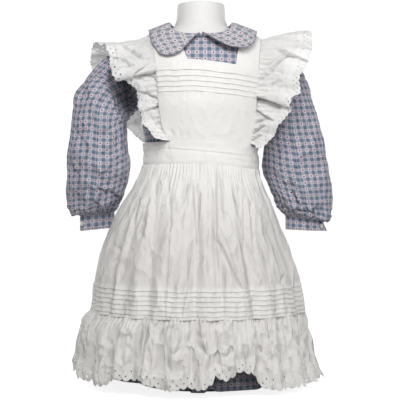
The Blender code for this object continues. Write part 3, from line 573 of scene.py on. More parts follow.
@dataclass(frozen=True)
class PrintCotton(Cotton):
    """Cotton with a small check of bands, dark squares, and ringed flowers with a red eye.

    Each edge tells how far from its middle a figure starts and ends to fade. shade darkens
    the cloth near the floor with a painted shadow, for the shade that falls under the flounce.
    """

    name: str = "print_cotton"
    thread: float = 0.00045
    roughness: float = 0.88
    sheen: float = 0.10
    nap: float = 0.5
    repeat: tuple[float, float] = (0.0114, 0.0109)
    ground: Colour = (0.455, 0.435, 0.510)
    band: Colour = (0.235, 0.265, 0.335)
    slate: Colour = (0.090, 0.115, 0.195)
    teal: Colour = (0.070, 0.150, 0.180)
    petal: Colour = (0.820, 0.750, 0.780)
    eye: Colour = (0.200, 0.010, 0.045)
    washed: Colour = (0.42, 0.42, 0.50)
    painted_shadow: Colour = (0.022, 0.022, 0.028)
    band_edge: tuple[float, float] = (0.0022, 0.0032)
    petal_edge: tuple[float, float] = (0.0021, 0.0029)
    eye_edge: tuple[float, float] = (0.0012, 0.0018)
    painted_shadow_between: tuple[float, float] = (0.030, 0.080)
    shade: float = 0.0

    def _check(self, plan: Plan, counted: Socket, x: Socket, y: Socket) -> Socket:
        """Bands that cross, with a dark square at each crossing.

        Args:
            plan: Plan of the material.
            counted: Place on the cloth, in repeats.
            x: Place across a repeat, from its middle.
            y: Place up a repeat, from its middle.

        Returns:
            Socket of the colour.
        """
        wide, tall = self.repeat
        to_side = plan.math("SUBTRACT", wide / 2, plan.math("ABSOLUTE", x))
        to_top = plan.math("SUBTRACT", tall / 2, plan.math("ABSOLUTE", y))
        bands = plan.math("MAXIMUM", plan.ramp(to_side, *self.band_edge), plan.ramp(to_top, *self.band_edge))
        colour = plan.mix(plan.math("MULTIPLY", bands, 0.6), self.ground, self.band)
        chance = plan.add("ShaderNodeTexWhiteNoise", noise_dimensions="2D")
        shifted = plan.vector("ADD", counted, (0.5, 0.5, 0.0))
        plan.feed(chance.inputs["Vector"], plan.vector("FLOOR", shifted))
        dark = plan.mix(chance.outputs["Value"], self.slate, self.teal)
        fourth = plan.math("ADD", plan.math("POWER", to_side, 4.0), plan.math("POWER", to_top, 4.0))
        square = plan.ramp(plan.math("POWER", fourth, 0.25), *self.band_edge)
        return plan.mix(plan.math("MULTIPLY", square, 0.92), colour, dark)

    def _flower(self, plan: Plan, colour: Socket, inside: Socket, x: Socket, y: Socket) -> Socket:
        """Six-petalled flower with its eye, over the colour below.

        Args:
            plan: Plan of the material.
            colour: The colour below.
            inside: Place in a repeat, from its middle.
            x: The place's part across.
            y: The place's part up.

        Returns:
            Socket of the colour.
        """
        lobes = plan.math("COSINE", plan.math("MULTIPLY", plan.math("ARCTAN2", y, x), 6.0))
        reach = plan.math("MULTIPLY", plan.length(inside), plan.math("MULTIPLY_ADD", lobes, 0.08, 1.0))
        colour = plan.mix(plan.ramp(reach, *self.petal_edge), colour, self.petal)
        return plan.mix(plan.ramp(reach, *self.eye_edge), colour, self.eye)

    def colour(self, plan: Plan) -> Socket:
        """Works out the cloth's colour.

        Args:
            plan: Plan of the material.

        Returns:
            Socket of the colour.
        """
        size = (*self.repeat, 1.0)
        counted = plan.vector("DIVIDE", plan.flat(), size)
        centred = plan.vector("SUBTRACT", plan.vector("FRACTION", counted), (0.5, 0.5, 0.0))
        inside = plan.vector("MULTIPLY", centred, (*self.repeat, 0.0))
        x, y, _ = plan.split(inside)
        colour = self._flower(plan, self._check(plan, counted, x, y), inside, x, y)
        faded = plan.math("MULTIPLY", plan.noise(plan.place(), 60.0, 3.0), 0.16)
        colour = plan.mix(faded, colour, self.washed)
        # Painted shadow: the print darkens towards the floor, where the flounce above shades the dress's hem.
        if self.shade:
            low = plan.ramp(plan.split(plan.place())[2], *self.painted_shadow_between)
            colour = plan.mix(plan.math("MULTIPLY", low, self.shade), colour, self.painted_shadow)
        return colour


@dataclass(frozen=True)
class Smooth:
    """A smooth hard finish: a shell button, the form's skin, the stand's metal or a thread."""

    name: str
    colour: Colour
    mottle: Colour
    roughness: float
    metallic: float = 0.0
    grain: float = 60.0
    relief: float = 0.0002

    def material(self) -> bpy.types.Material:
        """Makes the finish's material."""
        plan = Plan(self.name)
        cloud = plan.noise(plan.place(), self.grain, 3.0)
        rough = plan.noise(plan.place(), self.grain * 4)
        plan.dress(Base_Color=plan.mix(cloud, self.colour, self.mottle), Metallic=self.metallic,
                   Roughness=plan.math("MULTIPLY_ADD", rough, 0.12, self.roughness - 0.06))
        plan.bump(plan.noise(plan.place(), self.grain * 8, 3.0), 0.2, self.relief)
        return plan.material


WHITE_THREAD = Smooth("white_thread", (0.83, 0.82, 0.80), (0.76, 0.75, 0.72), 0.8, 0.0, 900.0, 0.0001)
GREY_THREAD = Smooth("grey_thread", (0.20, 0.21, 0.27), (0.14, 0.15, 0.20), 0.8, 0.0, 900.0, 0.0001)
SHELL_BUTTON = Smooth("shell_button", (0.74, 0.73, 0.68), (0.62, 0.60, 0.55), 0.32, 0.0, 220.0, 0.00005)
FORM_SKIN = Smooth("form_shell", (0.735, 0.728, 0.712), (0.700, 0.694, 0.678), 0.60, 0.0, 30.0, 0.0001)
STAND_METAL = Smooth("stand_metal", (0.62, 0.62, 0.63), (0.52, 0.52, 0.54), 0.34, 1.0, 120.0, 0.0001)
PRINT = PrintCotton(crush=0.0038)
PRESSED_PRINT = PrintCotton("pressed_print", crush=0.0010)
COLLAR_PRINT = PrintCotton("collar_print", ground=(0.555, 0.525, 0.560), band=(0.360, 0.360, 0.400),
                           slate=(0.180, 0.190, 0.235), teal=(0.165, 0.210, 0.230), crush=0.0014)
# The dress's hem print carries a painted shadow from the flounce above it.
HEM_PRINT = PrintCotton("hem_print", shade=0.60, crush=0.0038)
# The white cottons darken low down: partly painted shade, partly the cloth's own warmer tone.
WHITE = WhiteCotton(greyed_and_shaded=(0.650, 0.630, 0.610), greyed_and_shaded_between=(0.20, 0.42), trim=(0.10, 0.163),
                    trim_blur=0.008, trim_share=0.5, crush=0.0024, stretch=3.0)
FLOUNCED = WhiteCotton("flounce_cotton", crush=0.0042, through=0.3)
PRESSED = WhiteCotton("pressed_cotton", crush=0.0007)
RUFFLED = WhiteCotton("ruffle_cotton", light=(0.800, 0.792, 0.775), worn=(0.660, 0.650, 0.630), crush=0.0016,
                      through=0.8, trim=(0.0475, 0.08))
SLOTS = {"white_thread": "white_cotton", "grey_thread": "print_cotton", "pressed_cotton": "white_cotton",
         "ruffle_cotton": "white_cotton", "flounce_cotton": "white_cotton", "pressed_print": "print_cotton",
         "collar_print": "print_cotton", "hem_print": "print_cotton"}
Finish = Cotton | Smooth


class Wardrobe:
    """Keeps one material for each finish."""

    def __init__(self) -> None:
        """Starts with no materials made."""
        self.made: dict[str, bpy.types.Material] = {}

    def get(self, finish: Finish) -> bpy.types.Material:
        """Makes a finish's material once, and gives it again after that.

        Args:
            finish: The finish.

        Returns:
            Its material.
        """
        if finish.name not in self.made:
            self.made[finish.name] = finish.material()
        return self.made[finish.name]


WARDROBE = Wardrobe()


def new_mesh(name: str, points: Array, edges: Sequence = (), faces: Sequence = ()) -> bpy.types.Mesh:
    """Makes a mesh from its points, edges and faces.

    Args:
        name: Name of the mesh.
        points: Its points.
        edges: Pairs of points, for lines.
        faces: Points that go round each face.

    Returns:
        The new mesh.
    """
    mesh = bpy.data.meshes.new(name)
    mesh.from_pydata(points, edges, faces)
    return mesh


def link(name: str, data: bpy.types.ID) -> Piece:
    """Puts a mesh, a light or a camera into the scene as an object.

    Args:
        name: Name of the object.
        data: Its mesh, light or camera.

    Returns:
        The new object.
    """
    made = bpy.data.objects.new(name, data)
    bpy.context.scene.collection.objects.link(made)
    return made


def settle(obj: Piece, finish: Finish, nodes: Sequence[str] = ()) -> Piece:
    """Dresses a finished piece and puts it on the garment.

    Args:
        obj: The piece.
        finish: Its finish.
        nodes: CAD nodes that it stands for.

    Returns:
        The same piece.
    """
    if not obj.data.materials:
        obj.data.materials.append(WARDROBE.get(finish))
    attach(obj, "root")
    if nodes:
        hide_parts(*nodes)
    SLOTS.get(finish.name, finish.name)
    log.info("%s: %d faces", obj.name, len(obj.data.polygons))
    return obj


# ---------------------------------------------------------------- cloth from grids
@dataclass
class ClothGrid:
    """A cloth's points, with where each lies on the flat cloth.

    points has a row for each line up the cloth. flat has one column more where the cloth
    closes into a tube. kept leaves cells out, and eyelets names the points that become holes.
    """

    points: Array
    flat: Array
    closed: bool = False
    kept: Optional[Array] = None
    eyelets: Sequence[tuple[int, int]] = ()
    eyelet_share: float = 0.72

    def normals(self) -> Array:
        """Outward normal at each point."""
        if self.closed:
            around = np.roll(self.points, -1, axis=1) - np.roll(self.points, 1, axis=1)
        else:
            around = np.gradient(self.points, axis=1)
        return unit(np.cross(around, np.gradient(self.points, axis=0)))

    def area(self) -> float:
        """Area of the cloth, in square metres."""
        points = np.concatenate((self.points, self.points[:, :1]), axis=1) if self.closed else self.points
        right = points[:-1, 1:] - points[:-1, :-1]
        up = points[1:, :-1] - points[:-1, :-1]
        cells = np.linalg.norm(np.cross(right, up), axis=-1)
        return float(cells.sum() if self.kept is None else cells[self.kept].sum())

    def _cells(self) -> tuple[Array, Array, Array]:
        """Points, faces and flat corners of the kept cells, less those round the eyelets."""
        rows, columns = self.points.shape[:2]
        cells = columns if self.closed else columns - 1
        kept = np.ones((rows - 1, cells), bool) if self.kept is None else self.kept.copy()
        for j, i in self.eyelets:
            for column in ((i - 1) % cells, i % cells):
                kept[j - 1:j + 1, column] = False
        j, i = np.nonzero(kept)
        square = ((0, 0), (0, 1), (1, 1), (1, 0))
        faces = np.stack([(j + up) * columns + (i + right) % columns for up, right in square], axis=1)
        corners = np.stack([self.flat[j + up, i + right] for up, right in square], axis=1)
        return self.points.reshape(-1, 3), faces, corners

    def _ring(self, j: int, i: int, start: int) -> tuple[Array, Array, Array]:
        """Points, faces and flat corners of the ring of cloth round one eyelet.

        Args:
            j: Row of the eyelet.
            i: Column of the eyelet.
            start: Number of the ring's first point.

        Returns:
            The three arrays.
        """
        around = ((-1, -1), (-1, 0), (-1, 1), (0, 1), (1, 1), (1, 0), (1, -1), (0, -1))
        columns = self.points.shape[1]
        outer = np.array([(j + up) * columns + (i + right) % columns for up, right in around])
        outer_flat = np.array([self.flat[j + up, i + right] for up, right in around])
        shares = np.array([0.72, 1.0] * 4) * self.eyelet_share
        ring = blend(self.points[j, i][None], self.points.reshape(-1, 3)[outer], shares)
        ring_flat = blend(self.flat[j, i][None], outer_flat, shares)
        turn = np.arange(8)
        after = (turn + 1) % 8
        faces = np.stack((outer, outer[after], start + after, start + turn), axis=1)
        return ring, faces, np.stack((outer_flat, outer_flat[after], ring_flat[after], ring_flat), axis=1)

    def build(self, name: str, wall: float, outward: float) -> Piece:
        """Makes the cloth as an object.

        Args:
            name: Name of the piece.
            wall: Thickness of the cloth.
            outward: 1 puts the thickness outside the points, -1 inside, 0 half each way.

        Returns:
            The new object.
        """
        start = self.points[..., 0].size
        parts = [self._cells()]
        parts += [self._ring(j, i, start + 8 * number) for number, (j, i) in enumerate(self.eyelets)]
        points, faces, corners = (np.concatenate(part) for part in zip(*parts))
        used, faces = np.unique(faces, return_inverse=True)
        mesh = new_mesh(name, points[used], faces=faces.reshape(-1, 4).tolist())
        mesh.uv_layers.new(name="flat").data.foreach_set("uv", corners.reshape(-1))
        mesh.shade_smooth()
        made = link(name, mesh)
        thick = made.modifiers.new("wall", "SOLIDIFY")
        thick.thickness, thick.offset = wall, outward
        return made


def stacked(*parts: Array) -> Array:
    """Puts coordinates together into points."""
    return np.stack(np.broadcast_arrays(*parts), axis=-1)


def flat_places(columns: Array, rows: Array) -> Array:
    """Places on the flat cloth from its columns' and rows' distances."""
    return stacked(columns[None], rows[:, None])


def travelled_along(line: Array) -> Array:
    """Distance travelled to each point of a line."""
    return np.concatenate(([0.0], np.cumsum(np.linalg.norm(np.diff(line, axis=0), axis=1))))


@dataclass(frozen=True)
class Cut:
    """A piece of cloth's flat size, how it is held, what it rests on, and its wall; building it reads only
    the wall's thickness and side.

    area is that of what shows, where it is less than the flat size.
    """

    flat: tuple[float, float]
    held: str
    rests_on: str
    area: Optional[float] = None
    wall: float = 0.0008
    outward: float = -1.0

    def wear(self, grid: ClothGrid, node: str, finish: Cotton) -> None:
        """Args:
            grid: The cloth's points.
            node: CAD node that it stands for, from which it has its name.
            finish: Its finish.
        """
        name = node + "_cloth"
        log.info("%s: area %.4f m2", name, grid.area())
        cloth = settle(grid.build(name, self.wall, self.outward), finish, [node])


# ---------------------------------------------------------------- trims that follow a line
class TrimTree:
    """A geometry-node tree whose named inputs give a trim its sizes."""

    def __init__(self, name: str, inputs: dict[str, float]) -> None:
        """Starts a tree.

        Args:
            name: Name of the tree.
            inputs: Names and default values of its sizes.
        """
        self.tree = bpy.data.node_groups.new(name, "GeometryNodeTree")
        ports = self.tree.interface
        ports.new_socket("Line", in_out="INPUT", socket_type="NodeSocketGeometry")
        for key, value in inputs.items():
            ports.new_socket(key, in_out="INPUT", socket_type="NodeSocketFloat").default_value = value
        ports.new_socket("Finish", in_out="INPUT", socket_type="NodeSocketMaterial")
        ports.new_socket("Trim", in_out="OUTPUT", socket_type="NodeSocketGeometry")
        self.given = self.tree.nodes.new("NodeGroupInput")
        self.result = self.tree.nodes.new("NodeGroupOutput")

    def add(self, kind: str, links: dict[str, object], **settings: object) -> bpy.types.Node:
        """Adds a node with its settings, and feeds its inputs by name.

        Args:
            kind: Type of the node.
            links: Sockets or constants for its inputs, by name.
            settings: Its properties.

        Returns:
            The new node.
        """
        node = self.tree.nodes.new(kind)
        for key, value in settings.items():
            setattr(node, key, value)
        for key, value in links.items():
            if isinstance(value, Socket):
                self.tree.links.new(value, node.inputs[key])
            else:
                node.inputs[key].default_value = value
        return node

    def circle(self, sides: int, radius: Socket) -> Socket:
        """Adds a circle as a curve."""
        made = self.add("GeometryNodeCurvePrimitiveCircle", {"Resolution": sides, "Radius": radius})
        return made.outputs[0]

    def close(self, trim: Socket) -> None:
        """Ends the tree: instances are made real and get their finish.

        Args:
            trim: Socket of the trim.
        """
        real = self.add("GeometryNodeRealizeInstances", {"Geometry": trim})
        dressed = self.add("GeometryNodeSetMaterial", {"Geometry": real.outputs[0],
                                                       "Material": self.given.outputs["Finish"]})
        self.tree.links.new(dressed.outputs[0], self.result.inputs[0])

    def lay(self, name: str, lines: bpy.types.Mesh, finish: Smooth) -> Piece:
        """Lays the trim along lines or on points, and makes it a plain mesh.

        Args:
            name: Name of the new piece.
            lines: Mesh of the lines or points that it follows.
            finish: The trim's finish.

        Returns:
            The new piece, on the garment.
        """
        guide = link(name + "_line", lines)
        laid = guide.modifiers.new("trim", "NODES")
        laid.node_group = self.tree
        for item in self.tree.interface.items_tree:
            if item.in_out == "INPUT" and item.socket_type == "NodeSocketFloat":
                laid[item.identifier] = float(item.default_value)
            elif item.in_out == "INPUT" and item.socket_type == "NodeSocketMaterial":
                laid[item.identifier] = WARDROBE.get(finish)
        bpy.context.view_layer.update()
        evaluated = guide.evaluated_get(bpy.context.evaluated_depsgraph_get())
        mesh = bpy.data.meshes.new_from_object(evaluated)
        mesh.name = name
        bpy.data.objects.remove(guide, do_unlink=True)
        mesh.shade_smooth()
        return settle(link(name, mesh), finish)


def stitch_tree() -> TrimTree:
    """Tree that lays short stitches end to end along lines."""
    tree = TrimTree("stitches", {"Stitch": 0.0023, "Pitch": 0.0032, "Thread": 0.00022})
    given = tree.given.outputs
    curve = tree.add("GeometryNodeMeshToCurve", {"Mesh": given["Line"]})
    even = tree.add("GeometryNodeResampleCurve", {"Curve": curve.outputs[0], "Length": given["Pitch"]},
                    mode="LENGTH")
    spots = tree.add("GeometryNodeCurveToPoints", {"Curve": even.outputs[0]}, mode="EVALUATED")
    turned = tree.add("FunctionNodeAlignRotationToVector", {"Vector": spots.outputs["Tangent"]}, axis="Z")
    shape = tree.add("GeometryNodeMeshCylinder", {"Vertices": 3, "Radius": given["Thread"],
                                                  "Depth": given["Stitch"]}, fill_type="TRIANGLE_FAN")
    links = {"Points": spots.outputs["Points"], "Rotation": turned.outputs[0], "Instance": shape.outputs[0]}
    sewn = tree.add("GeometryNodeInstanceOnPoints", links)
    tree.close(sewn.outputs[0])
    return tree


def edge_tree() -> TrimTree:
    """Tree that lays a round rolled edge along lines."""
    tree = TrimTree("rolled_edge", {"Radius": 0.0005})
    given = tree.given.outputs
    curve = tree.add("GeometryNodeMeshToCurve", {"Mesh": given["Line"]})
    section = tree.circle(5, given["Radius"])
    rolled = tree.add("GeometryNodeCurveToMesh", {"Curve": curve.outputs[0], "Profile Curve": section,
                                                  "Fill Caps": True})
    tree.close(rolled.outputs[0])
    return tree


def rim_tree() -> TrimTree:
    """Tree that sets an embroidered rim on each point, facing along its facing vector."""
    tree = TrimTree("eyelet_rims", {"Rim": 0.00185, "Thread": 0.00038})
    given = tree.given.outputs
    facing = tree.add("GeometryNodeInputNamedAttribute", {"Name": "facing"}, data_type="FLOAT_VECTOR")
    turned = tree.add("FunctionNodeAlignRotationToVector", {"Vector": facing.outputs[0]}, axis="Z")
    circle, section = tree.circle(7, given["Rim"]), tree.circle(3, given["Thread"])
    rim = tree.add("GeometryNodeCurveToMesh", {"Curve": circle, "Profile Curve": section})
    sewn = tree.add("GeometryNodeInstanceOnPoints", {"Points": given["Line"], "Rotation": turned.outputs[0],
                                                     "Instance": rim.outputs[0]})
    tree.close(sewn.outputs[0])
    return tree


class Notions:
    """Stitches, rolled edges and eyelet rims, which are gathered up and laid together."""

    def __init__(self) -> None:
        """Makes the trees and starts with nothing gathered."""
        self.trees = {"stitches": stitch_tree(), "edge": edge_tree()}
        self.lines: dict[str, dict[str, list[Array]]] = {kind: {} for kind in self.trees}
        self.rims = rim_tree()
        self.eyelets: list[tuple[Array, Array]] = []

    def _ask(self, kind: str, piece: str, line: Array, closed: bool) -> None:
        """Notes a line for a kind of trim."""
        line = np.concatenate((line, line[:1])) if closed else line
        self.lines[kind].setdefault(piece, []).append(line)

    def sew(self, piece: str, line: Array, closed: bool = False) -> None:
        """Asks for a line of stitches on a piece."""
        self._ask("stitches", piece, line, closed)

    def roll(self, piece: str, line: Array, closed: bool = False) -> None:
        """Asks for a rolled edge on a piece."""
        self._ask("edge", piece, line, closed)

    def pierce(self, grid: ClothGrid) -> None:
        """Asks for a rim round each of a cloth's eyelets."""
        rows, columns = np.array(grid.eyelets).T
        self.eyelets.append((grid.points[rows, columns], grid.normals()[rows, columns]))

    @staticmethod
    def _mesh(name: str, lines: Sequence[Array]) -> bpy.types.Mesh:
        """Makes a mesh of open lines.

        Args:
            name: Name of the mesh.
            lines: Points of each line.

        Returns:
            The new mesh.
        """
        edges, start = [], 0
        for line in lines:
            edges += [(start + i, start + i + 1) for i in range(len(line) - 1)]
            start += len(line)
        return new_mesh(name, np.concatenate(lines), edges)

    def lay(self, grey: Sequence[str]) -> None:
        """Lays all that was asked for.

        Args:
            grey: The pieces that are sewn in grey, where the others are sewn in white.
        """
        for kind, asked in self.lines.items():
            for piece, lines in asked.items():
                thread = GREY_THREAD if piece in grey else WHITE_THREAD
                self.trees[kind].lay(f"{piece}_{kind}", self._mesh(piece, lines), thread)
        places, facings = (np.concatenate(part) for part in zip(*self.eyelets))
        spots = new_mesh("eyelets", places)
        facing = spots.attributes.new("facing", "FLOAT_VECTOR", "POINT")
        facing.data.foreach_set("vector", facings.reshape(-1))
        self.rims.lay("eyelet_rims", spots, WHITE_THREAD)


# ---------------------------------------------------------------- the garment's own sizes
CLOTH = 0.0012
BODICE_OFFSET = 0.0025
PINAFORE_OFFSET = 0.0064
WAISTBAND_OFFSET = 0.0080
LAP_LIFT = 0.0024

WAIST_SEAM = 0.372
SIDE_ANGLE = np.radians(89.8)
ARMHOLE_MIDDLE = 0.5005
ARMHOLE_HALF_HEIGHT = 0.0515
ARMHOLE_BITE = np.radians(26)
NECK_SIDE = 0.5870
NECK_FRONT_DROP = 0.0200
NECK_BACK_DROP = 0.004
WAISTBAND_TOP = 0.3952
WAISTBAND_HEIGHT = 0.0375
WAISTBAND_DROOP = 0.008
WAISTBAND_HALF_WIDTH = 0.0955
FLOUNCE_SEAM = 0.118

Section = tuple[float, ...]
TORSO: tuple[Section, ...] = (  # height, half width, front, back
    (0.236, 0.0790, 0.0640, 0.0680),
    (0.250, 0.0880, 0.0710, 0.0760),
    (0.300, 0.0900, 0.0720, 0.0760),
    (0.340, 0.0875, 0.0670, 0.0680),
    (0.378, 0.0865, 0.0665, 0.0645),
    (0.420, 0.0935, 0.0740, 0.0690),
    (0.462, 0.1005, 0.0820, 0.0750),
    (0.500, 0.1045, 0.0820, 0.0780),
    (0.530, 0.1075, 0.0730, 0.0740),
    (0.548, 0.1055, 0.0620, 0.0660),
    (0.560, 0.0960, 0.0540, 0.0580),
    (0.570, 0.0800, 0.0485, 0.0525),
    (0.580, 0.0560, 0.0445, 0.0475),
    (0.589, 0.0440, 0.0415, 0.0440),
    (0.598, 0.0408, 0.0395, 0.0410),
    (0.612, 0.0400, 0.0385, 0.0395),
    (0.624, 0.0385, 0.0375, 0.0385),
)
PINAFORE_SKIRT: tuple[Section, ...] = (  # height, left, right, front, back
    (0.118, 0.1840, 0.1735, 0.1700, 0.1720),
    (0.134, 0.1810, 0.1710, 0.1680, 0.1700),
    (0.161, 0.1780, 0.1660, 0.1630, 0.1650),
    (0.187, 0.1730, 0.1590, 0.1570, 0.1580),
    (0.214, 0.1660, 0.1480, 0.1480, 0.1490),
    (0.240, 0.1575, 0.1380, 0.1380, 0.1380),
    (0.267, 0.1450, 0.1280, 0.1260, 0.1260),
    (0.293, 0.1305, 0.1175, 0.1130, 0.1130),
    (0.320, 0.1150, 0.1065, 0.0980, 0.0970),
    (0.340, 0.1035, 0.0985, 0.0850, 0.0840),
    (0.360, 0.0970, 0.0965, 0.0765, 0.0750),
)
FLOUNCE: tuple[Section, ...] = (  # height, left, right, front, back
    (0.010, 0.2085, 0.2030, 0.1930, 0.1940),
    (0.028, 0.2125, 0.1940, 0.1890, 0.1910),
    (0.054, 0.2090, 0.1860, 0.1850, 0.1870),
    (0.081, 0.2060, 0.1815, 0.1815, 0.1830),
    (0.100, 0.2005, 0.1775, 0.1775, 0.1790),
    (0.110, 0.1940, 0.1755, 0.1740, 0.1755),
    (0.118, 0.1850, 0.1740, 0.1705, 0.1725),
)
DRESS_SKIRT: tuple[Section, ...] = (  # height, left, right, front, back
    (0.012, 0.1760, 0.1660, 0.1620, 0.1640),
    (0.118, 0.1625, 0.1520, 0.1485, 0.1505),
    (0.187, 0.1520, 0.1385, 0.1365, 0.1375),
    (0.240, 0.1380, 0.1185, 0.1175, 0.1175),
    (0.293, 0.1150, 0.1030, 0.0980, 0.0980),
    (0.330, 0.0975, 0.0945, 0.0805, 0.0795),
    (0.360, 0.0915, 0.0915, 0.0715, 0.0700),
    (0.372, 0.0910, 0.0910, 0.0710, 0.0690),
)
HEM = Curve(
    (-180, -140, -110, -90, -72, -54, -47, -40, -27, -22, -13, -6, -2, 5, 7, 11, 15, 18, 25, 29,
     34, 64, 78, 100, 140, 180),
    (0.0140, 0.0180, 0.0140, 0.0245, 0.0180, 0.0115, 0.0140, 0.0265, 0.0260, 0.0190, 0.0145, 0.0185, 0.0165,
     0.0240, 0.0340, 0.0290, 0.0350, 0.0405, 0.0370, 0.0200, 0.0115, 0.0110, 0.0115, 0.0200, 0.0130, 0.0140),
)
SKIRT_FOLDS: tuple[Section, ...] = (  # angle, width, depth, top
    (-150, 5, 0.009, 0.30),
    (-128, 6, 0.010, 0.27),
    (-106, 5, 0.007, 0.24),
    (-78, 5, 0.006, 0.28),
    (-57, 5, 0.009, 0.31),
    (-43, 5, 0.006, 0.24),
    (-28, 4, 0.011, 0.33),
    (-17, 4, 0.007, 0.25),
    (-3, 4, 0.012, 0.34),
    (10, 4, 0.009, 0.29),
    (31, 5, 0.012, 0.29),
    (47, 5, 0.007, 0.22),
    (66, 6, 0.006, 0.30),
    (101, 5, 0.006, 0.26),
    (118, 5, 0.009, 0.30),
    (134, 6, 0.008, 0.25),
    (156, 5, 0.011, 0.31),
    (178, 4, 0.006, 0.33),
)
TUCK_SECTION: tuple[Section, ...] = (  # height over the tuck's edge, share of the relief
    (-0.0006, 0.0), (-0.0001, 0.02), (-0.0003, 0.8), (0.0004, 1.0),
    (0.0014, 0.85), (0.0030, 0.55), (0.0046, 0.2),
)
TUCK_ROWS = len(TUCK_SECTION) + 1
TUCK_STITCH = 6
SLEEVE_SECTIONS: dict[Side, tuple[Section, ...]] = {  # outer x, z, inner x, z, middle y, half depth
    Side.LEFT: (
        (0.2075, 0.2762, 0.1465, 0.2808, 0.048, 0.021),
        (0.2205, 0.2735, 0.1430, 0.2840, 0.045, 0.030),
        (0.2255, 0.2820, 0.1380, 0.2900, 0.041, 0.037),
        (0.2270, 0.3050, 0.1290, 0.3080, 0.030, 0.043),
        (0.2245, 0.3600, 0.1190, 0.3550, 0.012, 0.044),
        (0.2165, 0.4150, 0.1215, 0.3950, 0.003, 0.043),
        (0.2100, 0.4670, 0.1230, 0.4230, 0.000, 0.043),
        (0.1900, 0.5020, 0.1200, 0.4370, 0.000, 0.042),
        (0.1600, 0.5330, 0.1165, 0.4430, 0.000, 0.041),
        (0.1340, 0.5500, 0.1135, 0.4470, 0.001, 0.038),
        (0.1180, 0.5535, 0.1110, 0.4510, 0.001, 0.034),
    ),
    Side.RIGHT: (
        (0.2030, 0.2680, 0.1415, 0.2770, 0.030, 0.021),
        (0.2170, 0.2640, 0.1345, 0.2790, 0.028, 0.030),
        (0.2205, 0.2730, 0.1300, 0.2840, 0.026, 0.037),
        (0.2190, 0.3020, 0.1215, 0.3020, 0.022, 0.043),
        (0.2085, 0.3850, 0.1045, 0.3480, 0.010, 0.044),
        (0.1935, 0.4360, 0.1040, 0.3800, 0.004, 0.043),
        (0.1810, 0.4800, 0.1085, 0.4080, 0.001, 0.043),
        (0.1690, 0.5110, 0.1120, 0.4280, 0.000, 0.042),
        (0.1500, 0.5350, 0.1135, 0.4400, 0.000, 0.040),
        (0.1310, 0.5490, 0.1125, 0.4465, 0.001, 0.037),
        (0.1170, 0.5535, 0.1105, 0.4510, 0.001, 0.033),
    ),
}
# Seam x, seam height, edge x, y and z, and wave, from the front waist to the back waist.
RUFFLE_STATIONS: dict[Side, tuple[Section, ...]] = {
    Side.LEFT: (
        (-0.045, 0.3965, -0.074, -0.0790, 0.3980, 0.001),
        (-0.060, 0.4250, -0.093, -0.0740, 0.4190, 0.003),
        (-0.064, 0.4550, -0.101, -0.0640, 0.4500, 0.003),
        (-0.066, 0.4850, -0.106, -0.0620, 0.4800, 0.004),
        (-0.070, 0.5150, -0.140, -0.0780, 0.4920, 0.006),
        (-0.078, 0.5500, -0.150, -0.0520, 0.5300, 0.006),
        (-0.084, 0.5650, -0.166, -0.0040, 0.5600, 0.005),
        (-0.080, 0.5500, -0.188, 0.0480, 0.5580, 0.006),
        (-0.074, 0.5150, -0.192, 0.0780, 0.5170, 0.007),
        (-0.070, 0.4850, -0.168, 0.0950, 0.4800, 0.006),
        (-0.066, 0.4550, -0.145, 0.0880, 0.4470, 0.005),
        (-0.060, 0.4250, -0.122, 0.0770, 0.4180, 0.003),
        (-0.050, 0.3965, -0.100, 0.0660, 0.4000, 0.001),
    ),
    Side.RIGHT: (
        (0.074, 0.3935, 0.098, -0.0730, 0.3800, 0.001),
        (0.080, 0.4200, 0.121, -0.0820, 0.4090, 0.003),
        (0.084, 0.4500, 0.141, -0.0860, 0.4440, 0.005),
        (0.086, 0.4800, 0.156, -0.0820, 0.4720, 0.006),
        (0.088, 0.5100, 0.163, -0.0720, 0.5060, 0.006),
        (0.092, 0.5500, 0.179, -0.0500, 0.5380, 0.006),
        (0.096, 0.5620, 0.183, 0.0000, 0.5740, 0.005),
        (0.092, 0.5500, 0.168, 0.0500, 0.5450, 0.006),
        (0.086, 0.5100, 0.158, 0.0800, 0.5050, 0.006),
        (0.082, 0.4800, 0.148, 0.0900, 0.4720, 0.005),
        (0.078, 0.4500, 0.132, 0.0880, 0.4430, 0.004),
        (0.070, 0.4200, 0.112, 0.0800, 0.4140, 0.003),
        (0.060, 0.3965, 0.082, 0.0700, 0.3960, 0.001),
    ),
}
COLLAR_EDGES: dict[Side, tuple[Section, ...]] = {  # angle from centre front, height
    Side.LEFT: (
        (1.6, 0.5620), (8, 0.5490), (14, 0.5350), (20, 0.5280), (27, 0.5258), (34, 0.5300), (41, 0.5425),
        (52, 0.5592), (68, 0.5668), (88, 0.5700),
    ),
    Side.RIGHT: (
        (1.6, 0.5620), (8, 0.5508), (15, 0.5412), (24, 0.5352), (33, 0.5345), (41, 0.5398), (49, 0.5508),
        (59, 0.5600), (72, 0.5655), (88, 0.5680),
    ),
}
COLLAR_BACK: tuple[Section, ...] = (
    (106, 0.5725), (121, 0.5710), (135, 0.5630), (150, 0.5500), (163, 0.5450), (171, 0.5520), (177, 0.5710),
)


def column_curve(rows: Sequence[Section], column: int) -> Curve:
    """Curve of one column of a table over its first column."""
    return Curve(tuple(row[0] for row in rows), tuple(row[column] for row in rows))


def station_curve(rows: Sequence[Section], column: int) -> Curve:
    """Curve of one column of a table over its rows, numbered from 0."""
    return Curve(tuple(range(len(rows))), tuple(row[column] for row in rows))


